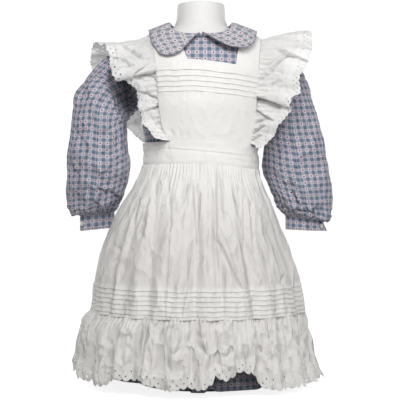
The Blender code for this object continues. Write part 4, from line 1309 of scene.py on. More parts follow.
# ---------------------------------------------------------------- body and skirt surfaces
class Torso:
    """The bare torso, which the layers of the bodice follow."""

    def __init__(self) -> None:
        """Reads the torso's table."""
        self.half_width, self.front, self.back = (column_curve(TORSO, column) for column in (1, 2, 3))

    def base(self, angle: Array, height: Array) -> Array:
        """Point on the bare torso, at an angle from centre front towards +X.

        Args:
            angle: Angle from centre front, towards +X.
            height: Height over the floor.

        Returns:
            The points.
        """
        angle, height = np.broadcast_arrays(angle, height)
        depth = np.where(np.cos(angle) > 0.0, self.front.at(height), self.back.at(height))
        across = self.half_width.at(height) * np.sin(angle)
        return stacked(across, -depth * np.cos(angle), height)

    def normal(self, angle: Array, height: Array) -> Array:
        """Outward normal of the torso.

        Args:
            angle: Angle from centre front, towards +X.
            height: Height over the floor.

        Returns:
            The normals.
        """
        step = 0.004
        around = self.base(angle + step, height) - self.base(angle - step, height)
        up = self.base(angle, height + step / 2) - self.base(angle, height - step / 2)
        return unit(np.cross(around, up))

    def point(self, angle: Array, height: Array, offset: Array) -> Array:
        """Point moved out from the torso by an offset."""
        return self.base(angle, height) + self.normal(angle, height) * np.asarray(offset)[..., None]

    def ridge(self, x: Array) -> Array:
        """Height of the shoulder ridge at a distance from the middle.

        Args:
            x: Distance from the middle.

        Returns:
            The heights.
        """
        low, high = np.full(np.shape(x), 0.548), np.full(np.shape(x), 0.612)
        for _ in range(30):
            middle = (low + high) / 2
            under = self.half_width.at(middle) > np.abs(x)
            low, high = np.where(under, middle, low), np.where(under, high, middle)
        return low

    def at(self, x: Array, height: Array, offset: Array, back: Array = False) -> Array:
        """Point on a layer at a distance from the middle and a height, in front or at the back.

        Args:
            x: Distance from the middle.
            height: Height over the floor.
            offset: Distance off the torso.
            back: Where it is at the back.

        Returns:
            The points.
        """
        x, height = np.broadcast_arrays(x, height)
        angle = np.arcsin(np.clip(x / self.half_width.at(height), -1.0, 1.0))
        return self.point(np.where(back, np.pi - angle, angle), height, offset)


TORSO_FORM = Torso()


def neck_height(angle: Array) -> Array:
    """Height of the neckline seam at an angle from centre front."""
    facing = np.cos(angle)
    return NECK_SIDE - np.where(facing > 0.0, NECK_FRONT_DROP, NECK_BACK_DROP) * np.abs(facing) ** 1.5


def armhole_angle(height: Array) -> Array:
    """Angle of a bodice panel's edge from its centre line."""
    level = np.clip((height - ARMHOLE_MIDDLE) / ARMHOLE_HALF_HEIGHT, -1.0, 1.0)
    return SIDE_ANGLE - ARMHOLE_BITE * (1.0 - level**2) ** 0.45


def band_top(x: Array) -> Array:
    """Height of the waistband's upper edge, which droops towards +X."""
    return WAISTBAND_TOP - WAISTBAND_DROOP * ease(np.asarray(x) / WAISTBAND_HALF_WIDTH)


def from_front(angle: Array) -> Array:
    """Degrees from centre front, from -180 to 180."""
    return (np.degrees(angle) + 180) % 360 - 180


def fold_inset(angle: Array, height: Array) -> Array:
    """Depth of the skirt's broad folds at an angle and height.

    Args:
        angle: Angle from centre front, towards +X.
        height: Height over the floor.

    Returns:
        How far the cloth lies in at each place.
    """
    total = np.zeros(np.broadcast(angle, height).shape)
    for centre, width, depth, top in SKIRT_FOLDS:
        away = (angle - np.radians(centre) + np.pi) % (2 * np.pi) - np.pi
        started = ease((top - height) / 0.09)
        total = total + depth * started * np.exp(-((away / np.radians(width)) ** 2))
    return total


class SkirtForm:
    """A skirt's outline at each height."""

    def __init__(self, rows: Sequence[Section]) -> None:
        """Reads the skirt's table.

        Args:
            rows: Height, left, right, front and back of each section.
        """
        self.left, self.right, self.front, self.back = (column_curve(rows, column) for column in (1, 2, 3, 4))

    def point(self, angle: Array, height: Array, inset: Array) -> Array:
        """Point on the skirt, moved in towards the middle by an inset.

        Args:
            angle: Angle from centre front, towards +X.
            height: Height over the floor.
            inset: How far it is moved in.

        Returns:
            The points.
        """
        angle, height, inset = np.broadcast_arrays(angle, height, inset)
        across = np.where(np.sin(angle) > 0.0, self.right.at(height), self.left.at(height))
        depth = np.where(np.cos(angle) > 0.0, self.front.at(height), self.back.at(height))
        outline = np.stack((across * np.sin(angle), -depth * np.cos(angle)), axis=-1)
        outline = outline * (1.0 - inset / np.linalg.norm(outline, axis=-1))[..., None]
        return np.concatenate((outline, height[..., None]), axis=-1)


def creased_from_front(front: Sequence[Crease], back: Sequence[Crease], points: Array) -> Array:
    """Depth of creases that are placed by x and z, on the front and on the back of a form.

    Args:
        front: Creases on the front.
        back: Creases on the back.
        points: Points of the cloth.

    Returns:
        The depth at each point.
    """
    x, y, z = points[..., 0], points[..., 1], points[..., 2]
    facing = ease(0.5 - y / 0.03)
    return creased(front, x, z) * facing + creased(back, x, z) * (1.0 - facing)


def tuck_rows(lowest: float, spacing: float, count: int) -> tuple[Array, Array]:
    """Rows of a run of tucks, each with a crisp lower edge that hangs over the cloth below.

    Args:
        lowest: Height of the lowest tuck's edge.
        spacing: Height from one tuck to the next.
        count: Number of tucks.

    Returns:
        The rows' heights, going up, and how far each stands out, as a share of the relief.
    """
    section = np.array((*TUCK_SECTION, (spacing - 0.0016, 0.0)))
    edges = lowest + spacing * np.arange(count)[:, None]
    return (edges + section[:, 0]).ravel(), np.tile(section[:, 1], count)


def edge_line(grid: ClothGrid, row: Optional[int] = None, column: Optional[int] = None, out: float = 0.0002,
              part: slice = slice(None)) -> Array:
    """Line just off a cloth's face, along part of a row or up part of a column."""
    lifted = grid.points + grid.normals() * out
    return lifted[part, column] if row is None else lifted[row, part]


# ---------------------------------------------------------------- dress form
def closed_rings(name: str, rings: Array) -> Piece:
    """Makes a solid from rings going up, closed at both ends.

    Args:
        name: Name of the piece.
        rings: Rows of points, each of which goes round once.

    Returns:
        The new object.
    """
    rows, sides = rings.shape[:2]
    square = ((0, 0), (0, 1), (1, 1), (1, 0))
    faces = [tuple((j + up) * sides + (i + right) % sides for up, right in square)
             for j in range(rows - 1) for i in range(sides)]
    faces += [tuple(range(sides))[::-1], tuple(range((rows - 1) * sides, rows * sides))]
    mesh = new_mesh(name, rings.reshape(-1, 3), faces=faces)
    mesh.shade_smooth()
    mesh.set_sharp_from_angle(angle=np.radians(35))
    return link(name, mesh)


def lathe(name: str, profile: Sequence[tuple[float, float]], sides: int) -> Piece:
    """Turns a profile of radii and heights, going up, into a closed solid.

    Args:
        name: Name of the piece.
        profile: Radii and heights.
        sides: Number of sides.

    Returns:
        The new object.
    """
    turns = np.linspace(0.0, 2 * np.pi, sides, endpoint=False)
    radii, heights = np.array(profile).T[..., None]
    return closed_rings(name, stacked(radii * np.sin(turns), -radii * np.cos(turns), heights))


@dataclass(frozen=True)
class DressForm:
    """Limbless torso with a short neck, on a pole and a round foot."""

    offset: float = -0.0015
    hip: float = 0.236
    cap: float = 0.6238
    rim: float = 0.0022
    rim_radius: float = 0.038
    pole_radius: float = 0.0125
    foot_radius: float = 0.105
    foot_thickness: float = 0.010
    foot_edge: float = 0.002
    foot_edge_cut: float = 0.0006
    gap: float = 0.0003
    sides: int = 80

    def _torso(self) -> Array:
        """Rings of the torso and its neck, with the rolled rim of the neck."""
        angles = np.linspace(0.0, 2 * np.pi, self.sides, endpoint=False)
        heights = np.concatenate(([self.hip], np.linspace(self.hip + 0.004, self.cap - self.rim, 90)))
        offsets = self.offset * (1.0 - ease((heights - 0.585) / 0.008))
        rings = TORSO_FORM.point(angles[None], heights[:, None], offsets[:, None] * np.ones(self.sides))
        rings[..., 2] = np.clip(rings[..., 2], self.hip + 0.0002, None)
        turns = (np.linspace(0.2, 1.0, 6) * np.pi / 2)[:, None]
        shrink = 1 - self.rim / self.rim_radius * (1 - np.cos(turns))
        rise = self.cap - self.rim + self.rim * np.sin(turns)
        x, y, _ = rings[-1].T
        return np.concatenate((rings, stacked(x * shrink, y * shrink, rise)))

    def build(self) -> None:
        """Builds the form and its stand."""
        settle(closed_rings("form_shell", self._torso()), FORM_SKIN, ["form_torso"])
        pole = ((self.pole_radius, self.foot_thickness + self.gap), (self.pole_radius, self.hip - self.gap))
        settle(lathe("stand_pole", pole, 40), STAND_METAL, ["form_pole"])
        radius, top, edge, cut = self.foot_radius, self.foot_thickness, self.foot_edge, self.foot_edge_cut
        foot = ((radius - edge, 0.0), (radius - cut, cut), (radius, edge), (radius, top - edge),
                (radius - cut, top - cut), (radius - edge, top))
        settle(lathe("stand_foot", foot, 96), STAND_METAL, ["form_foot"])


@dataclass(frozen=True)
class Button:
    """Round shell button with a raised rim, a dished middle and four holes."""

    radius: float = 0.0042
    thickness: float = 0.0018
    hole: float = 0.00048
    spread: float = 0.0011
    # Its half section, in shares of the radius and the thickness.
    section: tuple[tuple[float, float], ...] = (
        (0.82, 0.0), (0.97, 0.25), (1.0, 0.55), (0.95, 0.9),
        (0.85, 1.0), (0.74, 0.86), (0.62, 0.62), (0.3, 0.58),
    )

    def _blank(self, name: str) -> Piece:
        """The button's disc, before it is drilled."""
        return lathe(name, [(self.radius * out, self.thickness * up) for out, up in self.section], 40)

    def _drill(self, name: str) -> Piece:
        """Four pins, where the holes are to be.

        Args:
            name: Name of the pins' object.

        Returns:
            The pins.
        """
        drill, away = bmesh.new(), self.spread / 2**0.5
        for dx, dy in ((1, 1), (-1, 1), (-1, -1), (1, -1)):
            made = bmesh.ops.create_cone(drill, segments=12, radius1=self.hole, radius2=self.hole, depth=0.01,
                                         cap_ends=True)
            bmesh.ops.translate(drill, verts=made["verts"], vec=(dx * away, dy * away, 0))
        mesh = bpy.data.meshes.new(name)
        drill.to_mesh(mesh)
        drill.free()
        return link(name, mesh)

    def build(self, name: str, node: str, seat: Array, normal: Array) -> None:
        """Builds a button on its cloth, sewn on with a cross of thread.

        Args:
            name: Name of the piece.
            node: CAD node that it stands for.
            seat: Middle of its underside.
            normal: Direction that it faces.
        """
        button, drill = self._blank(name), self._drill(name + "_drill")
        cut = button.modifiers.new("holes", "BOOLEAN")
        cut.operation, cut.object, cut.solver = "DIFFERENCE", drill, "EXACT"
        drilled = button.evaluated_get(bpy.context.evaluated_depsgraph_get())
        mesh = bpy.data.meshes.new_from_object(drilled)
        bpy.data.objects.remove(drill, do_unlink=True)
        button.modifiers.clear()
        button.data = mesh
        turn = Vector(normal).to_track_quat("Z", "Y").to_matrix().to_4x4()
        turn.translation = Vector(seat)
        mesh.transform(turn)
        settle(button, SHELL_BUTTON, [node])
        right, up = np.array(turn.col[0][:3]), np.array(turn.col[1][:3])
        half, sunk = self.spread / 2**0.5 * 1.25, self.thickness * 0.4
        top = seat + normal * (self.thickness * 0.72)
        for way in ((right + up) * half, (right - up) * half):
            NOTIONS.roll("button", np.array([top - way - normal * sunk, top - way * 0.8, top, top + way * 0.8,
                                             top + way - normal * sunk]))


NOTIONS = Notions()


# ---------------------------------------------------------------- print dress
@dataclass(frozen=True)
class Bodice:
    """The dress's bodice: one front and two backs that lap and button at centre back."""

    rows: int = 64
    front_columns: int = 80
    back_columns: int = 40
    lap: float = 0.035
    print_shift: float = 0.0056
    button_heights: tuple[float, ...] = (0.572, 0.520, 0.468)
    crumple: Crumple = Crumple(11, 0.016, 3)
    front_cut: Cut = Cut((0.24, 0.25), "stretched", "form_shell", 0.0545)
    back_cut: Cut = Cut((0.13, 0.25), "stretched", "form_shell", 0.0292)

    def _height(self, neck: Array) -> Array:
        """Heights of a panel's rows, from the waist seam to the neckline."""
        return WAIST_SEAM + (neck - WAIST_SEAM) * np.linspace(0.0, 1.0, self.rows)[:, None]

    def _panel(self, angle: Array, height: Array, lift: Array) -> ClothGrid:
        """Makes a panel's cloth with its soft dents.

        Args:
            angle: Angle from centre front, towards +X.
            height: Height over the floor.
            lift: How far it is lifted where it laps.

        Returns:
            The cloth.
        """
        dents = 0.0005 * self.crumple.at(angle * 0.09, height)
        points = TORSO_FORM.point(angle, height, BODICE_OFFSET + CLOTH - 0.0003 + lift + dents)
        return ClothGrid(points, stacked(angle * 0.094, height + self.print_shift))

    def _front(self) -> None:
        """Builds the front, from side seam to side seam."""
        share = np.linspace(-1.0, 1.0, self.front_columns)[None]
        height = self._height(neck_height(share * SIDE_ANGLE))
        panel = self._panel(share * armhole_angle(height), height, 0.0)
        self.front_cut.wear(panel, "bodice_front", PRESSED_PRINT)

    def _back(self, side: Side) -> None:
        """Builds one back, which goes a little past centre back.

        Args:
            side: The side of the garment.
        """
        share = np.linspace(1.0, -self.lap, self.back_columns)[None]
        height = self._height(neck_height(np.pi - side.sign * share * SIDE_ANGLE))
        angle = np.pi - side.sign * share * armhole_angle(height)
        lift = LAP_LIFT * ease((0.15 - share) / 0.09) * (side is Side.RIGHT) * np.ones_like(height)
        if side is Side.LEFT:
            angle, height, lift = angle[:, ::-1], height[:, ::-1], lift[:, ::-1]
        panel = self._panel(angle, height, lift)
        self.back_cut.wear(panel, f"bodice_back_{side.value}", PRINT)
        if side is Side.RIGHT:
            NOTIONS.sew("bodice_back", edge_line(panel, column=-3))

    def build(self) -> None:
        """Builds the three panels and the back buttons."""
        self._front()
        for side in Side:
            self._back(side)
        for number, height in enumerate(self.button_heights, 1):
            at = (np.array(np.pi), np.array(height))
            seat = TORSO_FORM.point(*at, BODICE_OFFSET + LAP_LIFT + CLOTH + 0.0003)
            Button().build(f"back_button_shell_{number}", f"back_button_{number}", seat,
                           TORSO_FORM.normal(*at))


@dataclass(frozen=True)
class DressSkirt:
    """The dress's own gathered skirt, under the pinafore."""

    columns: int = 220
    rows: int = 50
    girth: float = 1.10
    hem: Curve = Curve((-180, -75, -60, -25, -16, -8, -5, 2, 5, 9, 31, 40, 70, 180),
                       (0.0130, 0.0170, 0.0180, 0.0180, 0.0210, 0.0190, 0.0080, 0.0080, 0.0160, 0.0090,
                        0.0090, 0.0160, 0.0160, 0.0130))
    crumple: Crumple = Crumple(23, 0.03, 3)
    cut: Cut = Cut((1.10, 0.36), "gathered", "form_shell")

    def build(self) -> None:
        """Builds the skirt."""
        turns = np.linspace(0.0, 1.0, self.columns + 1)
        angle = 2 * np.pi * turns[None, :-1]
        level = np.linspace(1.0, 0.0, self.rows)[:, None]
        height = WAIST_SEAM + (self.hem.at(from_front(angle)) - WAIST_SEAM) * level
        flat = flat_places(turns * self.girth, height[:, 0] - WAIST_SEAM)
        across, up = flat[:, :-1, 0], flat[:, :-1, 1]
        waves = (0.0010 + 0.0040 * level) * (0.5 - 0.5 * np.cos(9 * angle))
        fine = 0.0016 * pleats(across, 0.012, 5, self.girth) * (1.0 - 0.6 * level)
        dents = 0.0008 * self.crumple.at(across, up, self.girth)
        points = SkirtForm(DRESS_SKIRT).point(angle, height, waves + fine + dents + 0.0004)
        grid = ClothGrid(points, flat, closed=True)
        self.cut.wear(grid, "dress_skirt", HEM_PRINT)
        NOTIONS.sew("dress_skirt", edge_line(grid, row=4), True)


@dataclass(frozen=True)
class Sleeve:
    """A long full sleeve, gathered into its cuff.

    Its stations go up with its sections, and one more goes over from them to the armhole.
    """

    side: Side
    creases: tuple[Crease, ...]
    hollows: tuple[Crease, ...]
    columns: int = 124
    girth: float = 0.30
    length: float = 0.30
    gathers: Curve = Curve((0, 1, 2, 3, 4, 5), (0.04, 0.09, 0.08, 0.04, 0.02, 0.0))
    last: int = 10
    straightened: int = 8
    pleat_pitch: float = 0.0095
    dents: float = 0.0038
    puckers: float = 0.0036
    drawn_in: float = 0.16
    tucked_down: float = 0.006
    cut: Cut = Cut((0.30, 0.33), "gathered", "form_shell", 0.0870)

    def _armhole(self, turn: Array) -> Array:
        """Points of the armhole that the sleeve is set into.

        Args:
            turn: Angle round the sleeve.

        Returns:
            The points.
        """
        rise = np.sin(turn) * self.side.sign
        height = ARMHOLE_MIDDLE + (ARMHOLE_HALF_HEIGHT - 0.002) * rise
        angle = np.minimum(armhole_angle(height) + 0.0143, SIDE_ANGLE - 0.0143)
        angle = np.where(np.cos(turn) > 0, angle, np.pi - angle)
        return TORSO_FORM.point(self.side.sign * angle, height, BODICE_OFFSET + CLOTH / 2)

    def _tube(self, station: Array, turn: Array, across: Array) -> Array:
        """Points of the sleeve, drawn into its cuff and set into its armhole, before it creases.

        Args:
            station: Place up the sleeve, in stations.
            turn: Angle round the sleeve.
            across: Place across the cloth, in metres.

        Returns:
            The points.
        """
        sign, rows = self.side.sign, SLEEVE_SECTIONS[self.side]
        level = np.minimum(station, self.last)
        outer_x, outer_z, inner_x, inner_z, middle_y, half_depth = (
            station_curve(rows, column).at(level) for column in range(6))
        seed = 31 + int(sign)
        fine = pleats(across, self.pleat_pitch, seed, self.girth)
        pleat = 0.45 * (0.5 - 0.5 * np.cos(6 * turn)) + 0.75 * fine
        gather = 1.0 - self.gathers.at(station) * pleat
        rise = np.sin(turn) * sign
        reach_x, reach_z = sign * (outer_x - inner_x) / 2, (outer_z - inner_z) / 2
        middle = stacked(sign * (outer_x + inner_x) / 2, middle_y, (outer_z + inner_z) / 2)
        around = stacked(reach_x * rise, -half_depth * np.cos(turn), reach_z * rise)
        points = middle + around * gather[..., None]
        armhole = np.broadcast_to(self._armhole(turn), points.shape)
        points = blend(points, armhole, ease(station - self.last) * np.ones_like(across))
        tucked = ease((0.25 - station) / 0.25)
        points[..., 2] -= self.tucked_down * tucked
        middle = points.mean(axis=1, keepdims=True)
        return middle + (points - middle) * (1.0 - self.drawn_in * tucked)[..., None]

    def _creased(self, points: Array, station: Array, across: Array) -> Array:
        """Points of the worn sleeve, with its creases, dents and puckers, and its armpit's hollow.

        Args:
            points: Points of the cloth.
            station: Place up the sleeve, in stations.
            across: Place across the cloth, in metres.

        Returns:
            The points, creased.
        """
        normals = ClothGrid(points, across, closed=True).normals()
        up = station / self.last * self.length * np.ones_like(across)
        calm = ease((self.last + 0.4 - station) / 1.5) * ease((station - 0.2) / 1.0)
        seed = int(self.side.sign)
        dents = self.dents * Crumple(41 + seed, 0.028, 3, 1.0, 0.6).at(across, up, self.girth)
        puckers = self.puckers * Crumple(61 + seed, 0.014, 2, 1.6, 0.6).at(across, up, self.girth)
        puckers = puckers * ease((2.6 - station) / 2.6)
        inset = creased_from_front(self.creases, self.creases, points)
        points = points - normals * ((inset + dents) * calm + puckers)[..., None]
        sunk = creased_from_front(self.hollows, (), points) * ease((self.last + 0.9 - station) / 0.5)
        return points + sunk[..., None] * np.array([0.0, 1.0, 0.0])

    def _flat(self, points: Array, flat_across: Array) -> Array:
        """Places on the flat cloth, evened out round the sleeve so that the print runs straight.

        Args:
            points: Points of the cloth.
            flat_across: Each column's place across the cloth.

        Returns:
            The places.
        """
        steps = np.linalg.norm(np.diff(points, axis=0), axis=-1)
        up = np.concatenate((np.zeros((1, self.columns)), np.cumsum(steps, axis=0)))
        shifts = range(-self.straightened, self.straightened + 1)
        up = sum(np.roll(up, shift, axis=1) for shift in shifts) / len(shifts)
        return stacked(flat_across[None], np.concatenate((up, up[:, :1]), axis=1))

    def build(self) -> None:
        """Builds the sleeve from inside its cuff up to the armhole."""
        upper = np.linspace(4.0, self.last + 1.0, 66)[1:]
        station = np.concatenate((np.linspace(0.0, 4.0, 66), upper))[:, None]
        turns = np.linspace(0.0, 1.0, self.columns + 1)
        across = turns[None, :-1] * self.girth * np.ones_like(station)
        points = self._tube(station, 2 * np.pi * turns[None, :-1], across)
        points = self._creased(points, station, across)
        grid = ClothGrid(points, self._flat(points, turns * self.girth), closed=True)
        name = f"sleeve_{self.side.value}"
        self.cut.wear(grid, name, PRINT)
        NOTIONS.sew(name, edge_line(grid, row=-6), True)


@dataclass(frozen=True)
class Cuff:
    """A band cuff, lapped and buttoned.

    top and bottom are the heights of its edges on its outer and its inner side.
    """

    side: Side
    outer_x: float
    inner_x: float
    middle_y: float
    top: tuple[float, float]
    bottom: tuple[float, float]
    lapped_end: float
    flare: float = 0.0
    height: float = 0.024
    length: float = 0.19
    print_height: float = 0.024
    half_depth: float = 0.020
    cloth: float = 0.0018
    gap: float = 0.0012
    overlap: float = np.radians(40)
    columns: int = 170

    def point(self, share: Array, level: Array, out: Array = 0.0) -> Array:
        """Point on the band, from its lapped end (0) to its hidden end (1).

        Args:
            share: Share of the way round.
            level: Share of the way up.
            out: Distance off the band.

        Returns:
            The points.
        """
        sign, sweep = self.side.sign, 2 * np.pi + self.overlap
        travelled = sweep * share
        turn = self.lapped_end - sign * travelled
        settled = ease((self.overlap + np.radians(40) - travelled) / np.radians(40))
        loose = np.clip(1.0 - travelled / self.overlap, 0, 1) ** 2 * (1.0 - 0.8 * level)
        lift = (self.cloth + self.gap) * settled + self.flare * loose
        outer_z = self.bottom[0] + (self.top[0] - self.bottom[0]) * level
        inner_z = self.bottom[1] + (self.top[1] - self.bottom[1]) * level
        rise = np.sin(turn) * sign
        reach = (self.outer_x - self.inner_x) / 2 - self.cloth + lift + out
        x = sign * ((self.outer_x + self.inner_x) / 2 + reach * rise)
        y = self.middle_y - (self.half_depth - self.cloth + lift + out) * np.cos(turn)
        z = (outer_z + inner_z) / 2 + (outer_z - inner_z) / 2 * rise
        return stacked(x, y, z)

    def _band(self) -> ClothGrid:
        """The band's cloth, a little puffed between its stitched edges."""
        share = np.linspace(0.0, 1.0, self.columns)[None]
        level = np.concatenate(([0.0, 0.02], np.linspace(0.05, 0.95, 15), [0.98, 1.0]))[:, None]
        puff = 0.0004 * (1.0 - (2 * level - 1.0) ** 8) - 0.0008
        across, up = share * self.length, level * self.print_height
        dents = 0.0005 * Crumple(71, 0.012, 2).at(across, up)
        points = self.point(share, level, self.cloth + puff + dents * ease(np.minimum(level, 1 - level) * 6))
        if self.side is Side.RIGHT:
            points, across = points[:, ::-1], across[:, ::-1]
        return ClothGrid(points, stacked(across + 0.004, up + 0.003))

    def build(self) -> None:
        """Builds the band and its button."""
        band, node = self._band(), f"cuff_{self.side.value}"
        cut = Cut((self.length, self.height), "folded", f"sleeve_{self.side.value}_cloth", wall=0.0014)
        cut.wear(band, node, PRINT)
        for row in (3, -4):
            NOTIONS.sew(node + "_cloth", edge_line(band, row=row))
        at = (np.array(self.overlap * 0.42 / (2 * np.pi + self.overlap)), np.array(0.46))
        normal = unit(self.point(*at, 0.01) - self.point(*at))
        button = f"cuff_button_{self.side.value}"
        Button().build(button + "_shell", button, self.point(*at, self.cloth) + normal * 0.0006, normal)


@dataclass(frozen=True)
class Collar:
    """One half of the flat round collar, with its corded edge.

    turn and scale lay its print on the cloth, and dip lowers its neck edge near the front.
    """

    side: Side
    stand_off: Curve
    turn: float = 0.0
    columns: int = 130
    rows: int = 34
    dip: float = 0.0045
    dip_reach: float = 26.0
    neck_reach: float = 0.042
    scale: float = 1.15
    offset: Curve = Curve((0.0, 0.05, 0.28, 0.62, 1.0), (0.0030, 0.0076, 0.0108, 0.0112, 0.0118))
    rise: Curve = Curve((0.0, 0.05, 0.28, 0.62, 1.0), (0.0012, 0.0022, 0.0006, 0.0, 0.0))
    cut: Cut = Cut((0.20, 0.05), "folded", "bodice_front_cloth", 0.0096, 0.0013)

    def _flat(self, angle: Array, share: Array, edge: Array) -> Array:
        """Places on the flat cloth, which is cut as a ring round the neck.

        Args:
            angle: Angle from centre front, towards +X.
            share: Share of the way out to the edge.
            edge: Height of the free edge.

        Returns:
            The places.
        """
        reach = self.neck_reach + share * np.maximum(neck_height(angle) - edge, 0.004) * 1.25
        turned = angle + self.turn
        return self.scale * stacked(reach * np.sin(turned), -reach * np.cos(turned))

    def build(self) -> None:
        """Builds the half, from centre front to centre back."""
        sign, edges = self.side.sign, COLLAR_EDGES[self.side] + COLLAR_BACK
        degrees = np.linspace(edges[0][0], edges[-1][0], self.columns)[None]
        angle = sign * np.radians(degrees)
        edge = column_curve(edges, 1).at(degrees)
        at_neck = np.linspace(0.1, 0.0, 13)[1:]
        share = np.concatenate((np.linspace(1.0, 0.1, self.rows - 12), at_neck))[:, None]
        near_front = np.exp(-((degrees / self.dip_reach) ** 2))
        neck = neck_height(angle) - self.dip * near_front
        fullness = np.minimum(1.0, (neck - edge) / 0.020) * (1.0 - 0.8 * near_front)
        height = neck + (edge - neck) * share + self.rise.at(share) * fullness
        away = self.stand_off.at(degrees) * share**2
        dents = 0.0006 * Crumple(81 + int(sign), 0.018, 2).at(angle * 0.075, height) * ease(share * 2)
        points = TORSO_FORM.point(angle, height, self.offset.at(share) + CLOTH + away + dents)
        flat = self._flat(angle, share, edge)
        if self.side is Side.LEFT:
            points, flat = points[:, ::-1], flat[:, ::-1]
        self.cut.wear(ClothGrid(points, flat), f"collar_{self.side.value}", COLLAR_PRINT)
        NOTIONS.roll("collar", np.concatenate((points[::-1, 0], points[0], points[:, -1])))


# ---------------------------------------------------------------- pinafore
LAST_STATION = 12
SHOULDER_STATION = 6
CHEST_STATION = 4
PINAFORE_FACE = PINAFORE_OFFSET + CLOTH - 0.0002


class RuffleLine:
    """The seam between pinafore and ruffle, and the ruffle's free edge."""

    def __init__(self, side: Side) -> None:
        """Reads the stations.

        Args:
            side: The side of the garment.
        """
        rows = RUFFLE_STATIONS[side]
        self.seam_x, self.wave = station_curve(rows, 0), station_curve(rows, 5)
        self.edge_fields = tuple(station_curve(rows, column) for column in (2, 3, 4))
        self.halves = (rows[: CHEST_STATION + 1], rows[::-1][: CHEST_STATION + 1])

    def chest_height(self, back: bool = False) -> float:
        """Height of the seam where the strap leaves the bib."""
        return self.halves[back][-1][1]

    def x_at(self, height: Array, back: bool = False) -> Array:
        """Distance of the seam from the middle, at a height below the shoulder."""
        half = self.halves[back]
        return Curve(tuple(row[1] for row in half), tuple(row[0] for row in half)).at(height)

    def seam(self, station: Array, offset: float) -> Array:
        """Point on the seam, from the front waist to the back waist.

        Args:
            station: Place along the seam, in stations.
            offset: Distance off the torso.

        Returns:
            The points.
        """
        back = station > SHOULDER_STATION
        near = np.where(back, LAST_STATION - station, station)
        x = self.seam_x.at(station)
        low = [station_curve(half, 1).at(near) for half in self.halves]
        height = np.where(back, low[1], low[0])
        start = np.where(back, self.chest_height(True), self.chest_height())
        climb = np.clip((near - CHEST_STATION) / 2, 0.0, 0.996)
        over = start + (TORSO_FORM.ridge(x) - start) * np.sin(climb * np.pi / 2)
        return TORSO_FORM.at(x, np.where(near > CHEST_STATION, over, height), offset, back)

    def edge(self, station: Array) -> Array:
        """Point on the free edge."""
        return stacked(*(curve.at(station) for curve in self.edge_fields))


def over_shoulder(x: Array, climb: Array, start: Array, offset: Array, back: bool = False) -> Array:
    """Point over the shoulder: climb goes from 0 at a start height to 1 on the ridge.

    Args:
        x: Distance from the middle.
        climb: Share of the way up.
        start: Height where the climb starts.
        offset: Distance off the torso.
        back: Whether it is at the back.

    Returns:
        The points.
    """
    top = TORSO_FORM.ridge(x)
    height = start + (top - start) * np.sin(np.minimum(climb, 0.996) * np.pi / 2)
    return TORSO_FORM.at(x, height, offset, back)


def spaced(ends: Sequence[Array], cells: Sequence[int]) -> Array:
    """Spreads numbers evenly through ends that differ from row to row.

    Args:
        ends: Ends of the runs, in order.
        cells: Cells in each run.

    Returns:
        The numbers, in rows.
    """
    ends = [np.asarray(end)[..., None] for end in ends]
    marks = [ends[0]]
    for start, end, count in zip(ends, ends[1:], cells):
        marks.append(start + (end - start) * (np.arange(1, count + 1) / count))
    return np.concatenate(marks, axis=-1)


